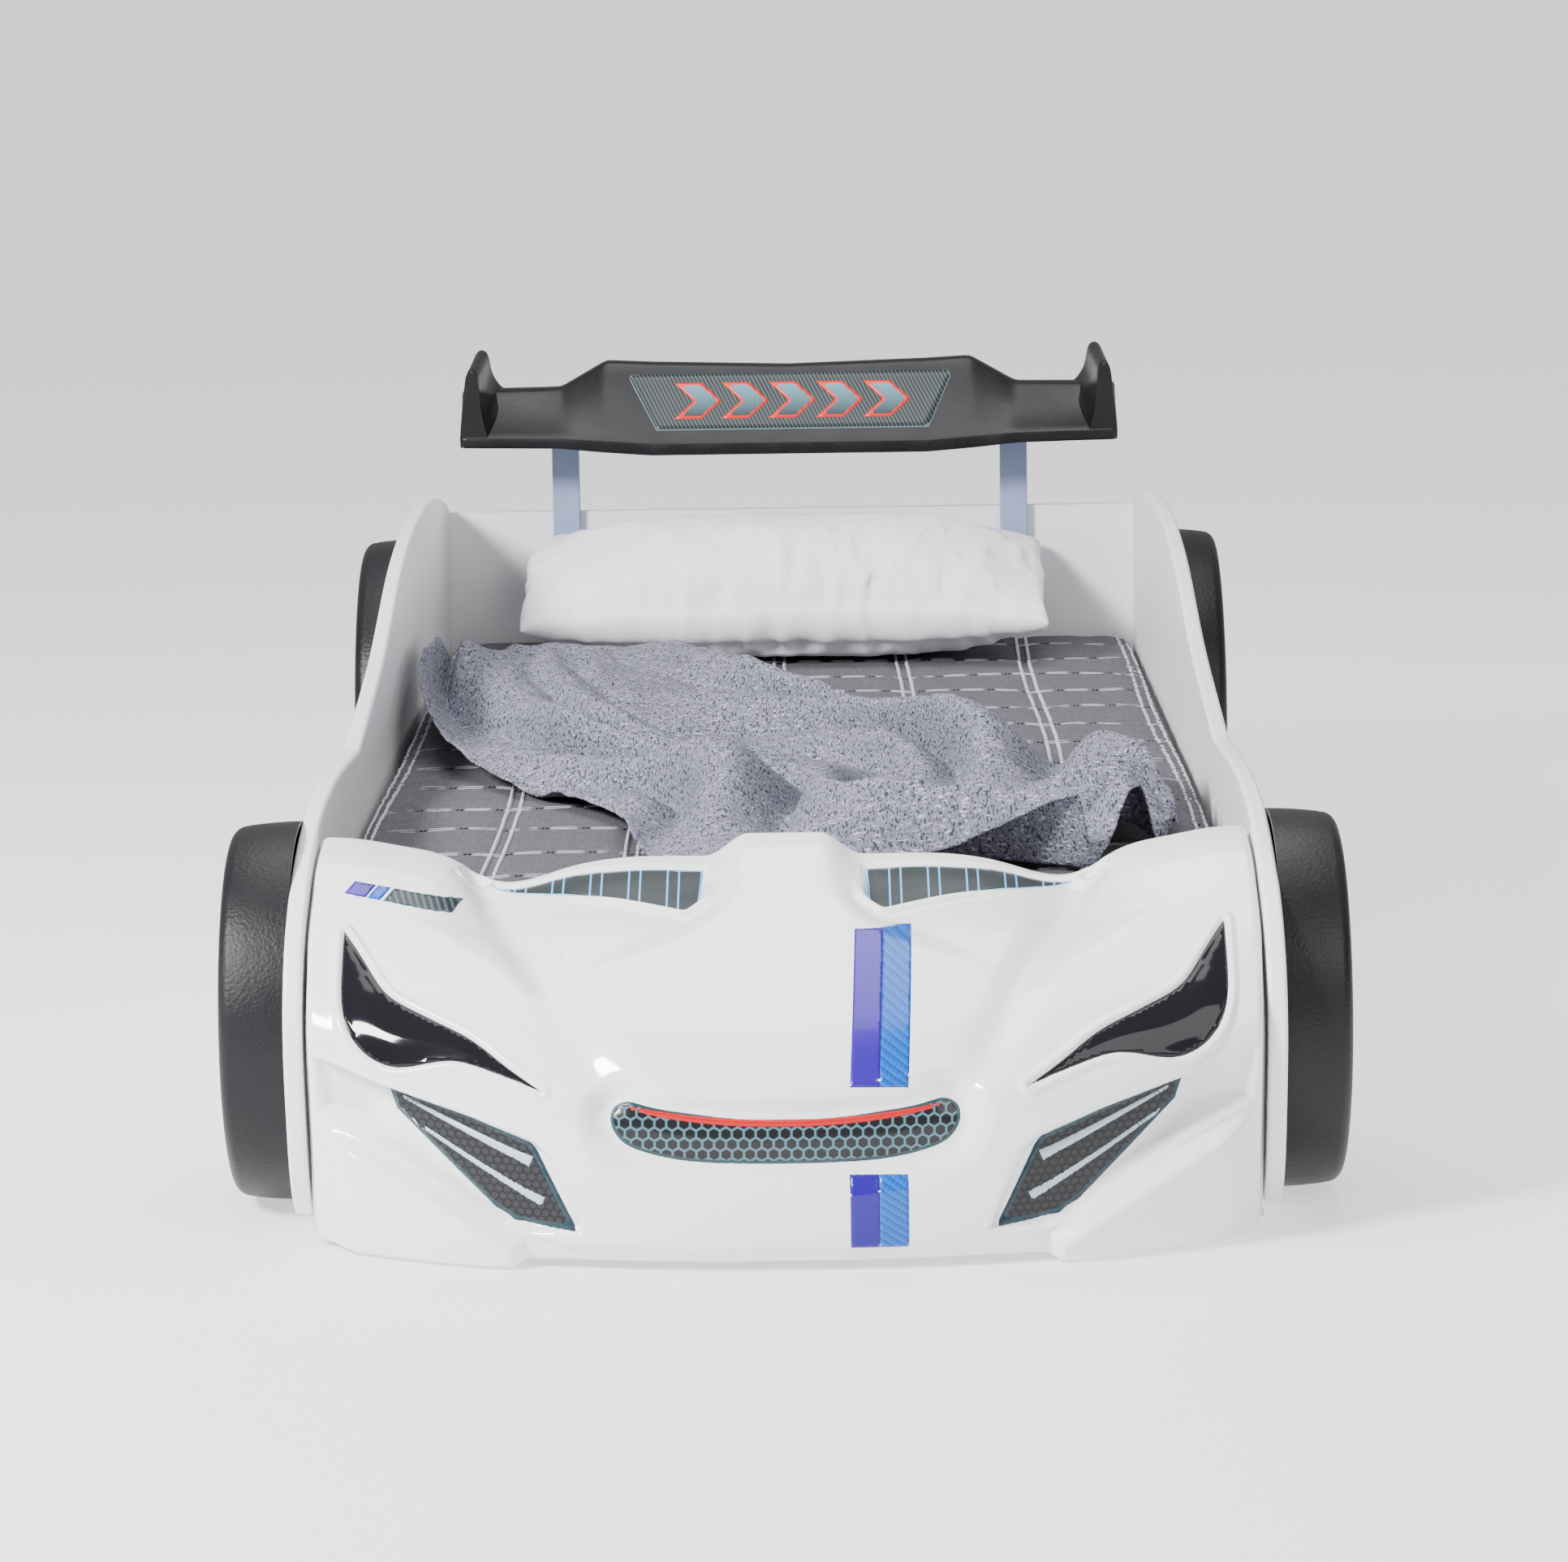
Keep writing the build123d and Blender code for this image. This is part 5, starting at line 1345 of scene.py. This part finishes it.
@dataclass
class Pillow:
    """Plump feather pillow, 700 x 500 when flat, pushed up against the headboard."""

    flat_width: float = 700.0
    flat_depth: float = 500.0
    slack: float = 0.03          # how much larger the cover is than what it holds
    pressure: float = 3.0
    stretch: float = 14.0        # stiffness against stretching
    bend: float = 0.1            # stiffness against bending
    point_mass: float = 0.15
    frames: int = 12
    most_moved: float = 12.0     # cap on what the simulation may move a point
    columns: int = 92
    rows: int = 66
    height: float = 172.0
    tilt: float = 13.0

    def build(self) -> bpy.types.Object:
        """Sew two layers, blow them up, crease them and lean the pillow on the headboard."""
        u, v = np.meshgrid(np.linspace(-1, 1, self.columns), np.linspace(-1, 1, self.rows), indexing="ij")
        # A rounded rectangle in plan, full at its ends, with short drawn-out corners.
        corner = 1 - 0.03 * (u ** 2 * v ** 2) ** 1.5
        x = u * self.flat_width / 2 * corner * (1 - 0.05 * (1 - v ** 2))
        y = v * self.flat_depth / 2 * corner * (1 - 0.05 * (1 - u ** 2))
        dome = self.height * 0.52 * (1 - np.abs(u) ** 3) ** 0.55 * (1 - np.abs(v) ** 2.6) ** 0.55
        layers = [np.stack([x, y, sign * dome + 400], axis=2).reshape(-1, 3) for sign in (1, -1)]
        count = self.columns * self.rows
        top = grid_faces(self.columns, self.rows)
        on_edge = ((np.abs(u) == 1) | (np.abs(v) == 1)).ravel()
        renumber = np.where(on_edge, np.arange(count), np.cumsum(~on_edge) - 1 + count)
        points = np.concatenate([layers[0], layers[1][~on_edge]])
        faces = top + [tuple(int(renumber[n]) for n in reversed(face)) for face in top]
        piece = make_mesh("pillow_cover", points, faces, 180)
        shaped = self.puff(piece, points)
        low, high = shaped.min(0), shaped.max(0)
        cad_low, cad_high = (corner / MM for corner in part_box("pillow"))
        middle = (low + high) / 2
        shaped = (shaped - middle) / (high - low)
        depth = cad_high.y - cad_low.y
        shaped *= np.array((cad_high.x - cad_low.x - 6, depth * 1.06, self.height * 1.04))
        # Creases: short wrinkles square to the front and back seams, longer soft ones over the crown.
        edge = np.abs(shaped[:, 1]) / (depth / 2)
        creases = rough(shaped, (26, 150, 110), 5.0, 3)
        soft = rough(shaped, (95, 130, 120), 12.0, 3)
        sharp = 1 - np.abs(rough(shaped, (48, 190, 90), 21.0, 2)) * 2.6
        level = 7.0 * creases * smooth_step(0.2, 0.9, edge) + 8 * soft + 7.0 * np.clip(sharp, 0, 1) ** 2
        away = shaped / np.linalg.norm(shaped, axis=1)[:, None]
        shaped = shaped + away * level[:, None] * smooth_step(1.25, 0.8, edge)[:, None]
        turn = Matrix.Rotation(math.radians(self.tilt), 3, "X")
        shaped = shaped @ np.array(turn).T
        shaped += np.array(((cad_low.x + cad_high.x) / 2, cad_high.y - depth / 2 - 2, cad_low.z + self.height * 0.5))
        # It lies flat on the bed and flat against the headboard.
        floor, back = cad_low.z + 0.4, cad_high.y - 1
        squeeze = np.maximum(floor + 16 - shaped[:, 2], 0)
        shaped[:, 2] = np.where(squeeze > 0, floor + 16 * np.exp(-squeeze / 16), shaped[:, 2])
        press = np.maximum(shaped[:, 1] - back + 14, 0)
        shaped[:, 1] = np.where(press > 0, back - 14 * np.exp(-press / 14), shaped[:, 1])
        limit = cad_high.z + 14
        over = np.maximum(shaped[:, 2] - limit + 12, 0)
        shaped[:, 2] = np.where(over > 0, limit - 12 * np.exp(-over / 12), shaped[:, 2])
        piece.data.vertices.foreach_set("co", (shaped * MM).ravel())
        piece.data.update()
        smooth = piece.modifiers.new("smooth", "SUBSURF")
        smooth.levels = smooth.render_levels = 1
        return piece

    def puff(self, piece: bpy.types.Object, points: Array) -> Array:
        """Blow the cover up with a cloth simulation, and take the simulation off.

        Args:
            piece: The sewn cover.
            points: Its points, in millimetres.

        Returns:
            Where the points end, none moved further than the cap.
        """
        cloth = piece.modifiers.new("cloth", "CLOTH")
        rules = cloth.settings
        rules.quality, rules.mass, rules.air_damping = 5, self.point_mass, 3.0
        rules.tension_stiffness, rules.compression_stiffness = self.stretch, self.stretch * 2
        rules.shear_stiffness, rules.bending_stiffness = self.stretch / 2, self.bend
        rules.use_pressure, rules.uniform_pressure_force = True, self.pressure
        rules.effector_weights.gravity, rules.shrink_min = 0.0, -self.slack
        cloth.point_cache.frame_start, cloth.point_cache.frame_end = 1, self.frames
        for number in range(1, self.frames + 1):
            bpy.context.scene.frame_set(number)
        blown = piece.evaluated_get(bpy.context.evaluated_depsgraph_get())
        places = np.zeros(points.size)
        blown.data.vertices.foreach_get("co", places)
        piece.modifiers.remove(cloth)
        bpy.context.scene.frame_set(1)
        moved = places.reshape(-1, 3) / MM - points
        reach = np.linalg.norm(moved, axis=1)[:, None]
        return points + moved * np.minimum(1, self.most_moved / np.maximum(reach, 1e-6))

    def dress(self) -> None:
        """Build and finish the pillow."""
        piece = self.build()
        fit(piece, "pillow_body", COTTON, ("pillow",))


@dataclass
class Throw:
    """Knitted throw dropped across the bed in folds that run along it."""

    width: float = 780.0
    length: float = 1500.0
    columns: int = 128
    rows: int = 190
    folds: float = 4.4
    tallest: float = 84.0
    full_room: float = 560.0     # rows narrower than this have fewer folds
    thickness: float = 2.8
    clear: float = 5.0           # kept from the edges of the bed
    # Both long edges of the heap, from the left board to the nose: X and distance ahead of the headboard.
    upper_edge: tuple = ((-300, 455), (-150, 480), (-40, 700), (110, 900), (255, 1180), (350, 1310), (405, 1520),
                         (395, 1700))
    lower_edge: tuple = ((-425, 600), (-415, 960), (-330, 1250), (-225, 1430), (-165, 1600), (-110, 1820),
                         (80, 1868), (290, 1872))

    def lay(self) -> Array:
        """Points of the cloth, row by row, each row's width taken up in its folds."""
        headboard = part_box("headboard")[0].y / MM
        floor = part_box("throw")[0].z / MM + 2.0
        share = np.linspace(0, 1, self.rows)
        edges = [np.array(cubic(np.linspace(0, 1, len(edge)), np.array(edge, float), share))
                 for edge in (self.lower_edge, self.upper_edge)]
        across = np.linspace(0, 1, self.columns)
        points = np.zeros((self.rows, self.columns, 3))
        for i, s in enumerate(share):
            start, end = edges[0][i], edges[1][i]
            room = np.linalg.norm(end - start)
            direction = (end - start) / room
            phase = (across * self.folds * min(1.0, room / self.full_room) + 0.6 * math.sin(8.0 * s + 0.4)
                     + 0.25 * math.sin(17 * s + 1.9) + 0.22 * np.sin(across * 8 + s * 12))
            crest = np.abs(np.sin(math.pi * phase)) ** 1.1
            size = 0.62 + 0.38 * np.sin(across * 10 + 2.0 * math.sin(6 * s) + 9 * s)
            # A broad calm sheet near the left board, its lower edge bunched up against the board.
            calm = smooth_step(0.38, 0.2, s) * smooth_step(0.12, 0.3, across)
            shape = crest * size * (1 - 0.8 * calm) + 0.5 * calm
            shape = shape + 0.4 * smooth_step(0.2, 0.02, s) * np.exp(-((across - 0.2) / 0.22) ** 2)
            lean = (-0.42 + 0.25 * math.sin(9 * s + 1)) * smooth_step(0.97, 0.75, s)
            flat = start + (end - start) * across[:, None]
            low, tall = 12.0, self.tallest
            for _ in range(12):            # the height that takes up the cloth's full width
                height = (low + tall) / 2 * shape
                row = np.stack([flat[:, 0] + direction[0] * lean * height,
                                headboard - flat[:, 1] - direction[1] * lean * height, floor + height], axis=1)
                if np.linalg.norm(np.diff(row, axis=0), axis=1).sum() < self.width:
                    low = (low + tall) / 2
                else:
                    tall = (low + tall) / 2
            points[i] = row
        # Even the rows out along the cloth, then add the small pull wrinkles.
        kernel = np.hanning(13)[1:-1] / np.hanning(13)[1:-1].sum()
        padded = np.pad(points[:, :, 2], ((5, 5), (0, 0)), mode="edge")
        points[:, :, 2] = sum(weight * padded[k:k + self.rows] for k, weight in enumerate(kernel))
        rows = points.reshape(-1, 3)
        rows[:, 2] += 7 * np.abs(rough(rows, (120, 70, 200), 2.0, 2)) + 3.0 * np.abs(rough(rows, (34, 22, 90), 7.0, 2))
        return rows

    def build(self) -> bpy.types.Object:
        """Lay the cloth on the bed and give it its thickness."""
        low, high = (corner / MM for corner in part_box("bedspread"))
        points = self.lay()
        points[:, 0] = np.clip(points[:, 0], low.x + self.clear, high.x - self.clear)
        points[:, 1] = np.maximum(points[:, 1], low.y + self.clear)
        piece = make_mesh("throw_cover", points, grid_faces(self.rows, self.columns), 180)
        thicken(piece, self.thickness, 1.0)
        smooth = piece.modifiers.new("smooth", "SUBSURF")
        smooth.levels = smooth.render_levels = 1
        return piece

    def dress(self) -> None:
        """Build and finish the throw."""
        piece = self.build()
        fit(piece, "throw_body", KNIT, ("throw",))


# ---------------------------------------------------------------- frame and stage
class Framework:
    """CAD pieces whose shape is already right: they only need their real finish."""

    def dress(self) -> None:
        """Put each node's finish in its material slots."""
        boards = ["side_panel_left", "side_panel_right", "headboard", "footboard"]
        timber = [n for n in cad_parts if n.startswith(("slat_", "centre_")) and n != "slat_screws"]
        steel = [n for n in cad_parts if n.endswith("_screws")] + ["corner_brackets"]
        rims = [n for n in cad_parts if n.startswith("rim_")]
        for nodes, finish in ((boards, WHITE_FOIL), (timber, PINE), (steel, ZINC), (rims, SILVER_PAINT),
                              (["wing_post_left", "wing_post_right"], POWDER_COAT),
                              (["floor_glides"], WING_PLASTIC)):
            for name in nodes:
                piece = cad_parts[name]
                piece.data.materials.clear()
                piece.data.materials.append(finish.material())


@dataclass(frozen=True)
class GlowingFloor(NoisyFinish):
    """Matt pale floor that glows a little, so that it stays pale out to its far edge."""

    glow: float = 0.95

    def pattern(self, tree: bpy.types.NodeTree) -> dict:
        """The usual faint unevenness, and the glow."""
        return {**super().pattern(tree), "Emission Color": (1, 1, 1, 1), "Emission Strength": self.glow}


@dataclass
class Studio:
    """Pale floor, bright surroundings, soft lamps and the camera."""

    floor_colour: str = "#cfcfd1"
    floor_reach: float = 400000.0
    sky: float = 0.45
    lens: float = 123.39         # millimetres on a 36 mm wide sensor
    stand: tuple = (0.0396, -5.9952, 1.2325)
    pan: float = 0.428           # degrees to the left of straight down the bed
    tilt: float = -9.035
    roll: float = -0.8475
    lamp_aim: tuple = (0.0, -0.3, 0.2)
    # Name, place in metres, side in metres, power in watts.
    lamps: tuple = (("key", (-3.2, -3.4, 3.2), 1.1, 640), ("fill", (2.3, -3.6, 2.6), 2.4, 60),
                    ("top", (0.0, 0.4, 3.8), 2.8, 110))

    def set_up(self) -> None:
        """Build the stage."""
        far = self.floor_reach
        corners = [(-far, -far, 0), (far, -far, 0), (far, far, 0), (-far, far, 0)]
        floor = make_mesh("floor", corners, [(0, 1, 2, 3)], 180)
        floor.data.materials.append(GlowingFloor("pale studio floor", self.floor_colour, 0.9).material())
        world = bpy.data.worlds.new("studio")
        bpy.context.scene.world = world
        world.use_nodes = True
        world.node_tree.nodes.clear()
        light = add_node(world.node_tree, "ShaderNodeBackground", {"Color": (1, 1, 1, 1), "Strength": self.sky})
        add_node(world.node_tree, "ShaderNodeOutputWorld", {"Surface": light})
        for lamp in self.lamps:
            self.add_lamp(*lamp)
        camera = bpy.data.cameras.new("camera")
        camera.lens, camera.sensor_width = self.lens, 36.0
        camera.clip_end = 1000
        holder = bpy.data.objects.new("camera", camera)
        bpy.context.scene.collection.objects.link(holder)
        pan, tilt, roll = (math.radians(a) for a in (self.pan, self.tilt, self.roll))
        holder.matrix_world = (Matrix.Translation(self.stand) @ Matrix.Rotation(pan, 4, "Z")
                               @ Matrix.Rotation(math.pi / 2 + tilt, 4, "X") @ Matrix.Rotation(roll, 4, "Z"))
        bpy.context.scene.camera = holder

    def add_lamp(self, name: str, place: tuple, size: float, power: float) -> None:
        """Hang one square soft lamp that faces the bed.

        Args:
            name: Name of the lamp.
            place: Where it hangs, in metres.
            size: Its side, in metres.
            power: Its power, in watts.
        """
        lamp = bpy.data.lights.new(name, "AREA")
        lamp.size, lamp.energy = size, power
        holder = bpy.data.objects.new(name, lamp)
        holder.location = place
        holder.rotation_mode = "QUATERNION"
        holder.rotation_quaternion = (Vector(self.lamp_aim) - Vector(place)).to_track_quat("-Z", "Y")
        bpy.context.scene.collection.objects.link(holder)


def main() -> None:
    """Build the stage and each sub-assembly in order."""
    logging.basicConfig(level=logging.INFO, format="%(name)s: %(message)s")
    Studio().set_up()
    Framework().dress()
    Nose().dress()
    for axle in ("front", "rear"):
        for side in Side:
            Wheel(axle, side).dress()
    Wing().dress()
    for part in (Mattress(), Bedspread(), Pillow(), Throw()):
        part.dress()


if __name__ == "__main__":
    main()
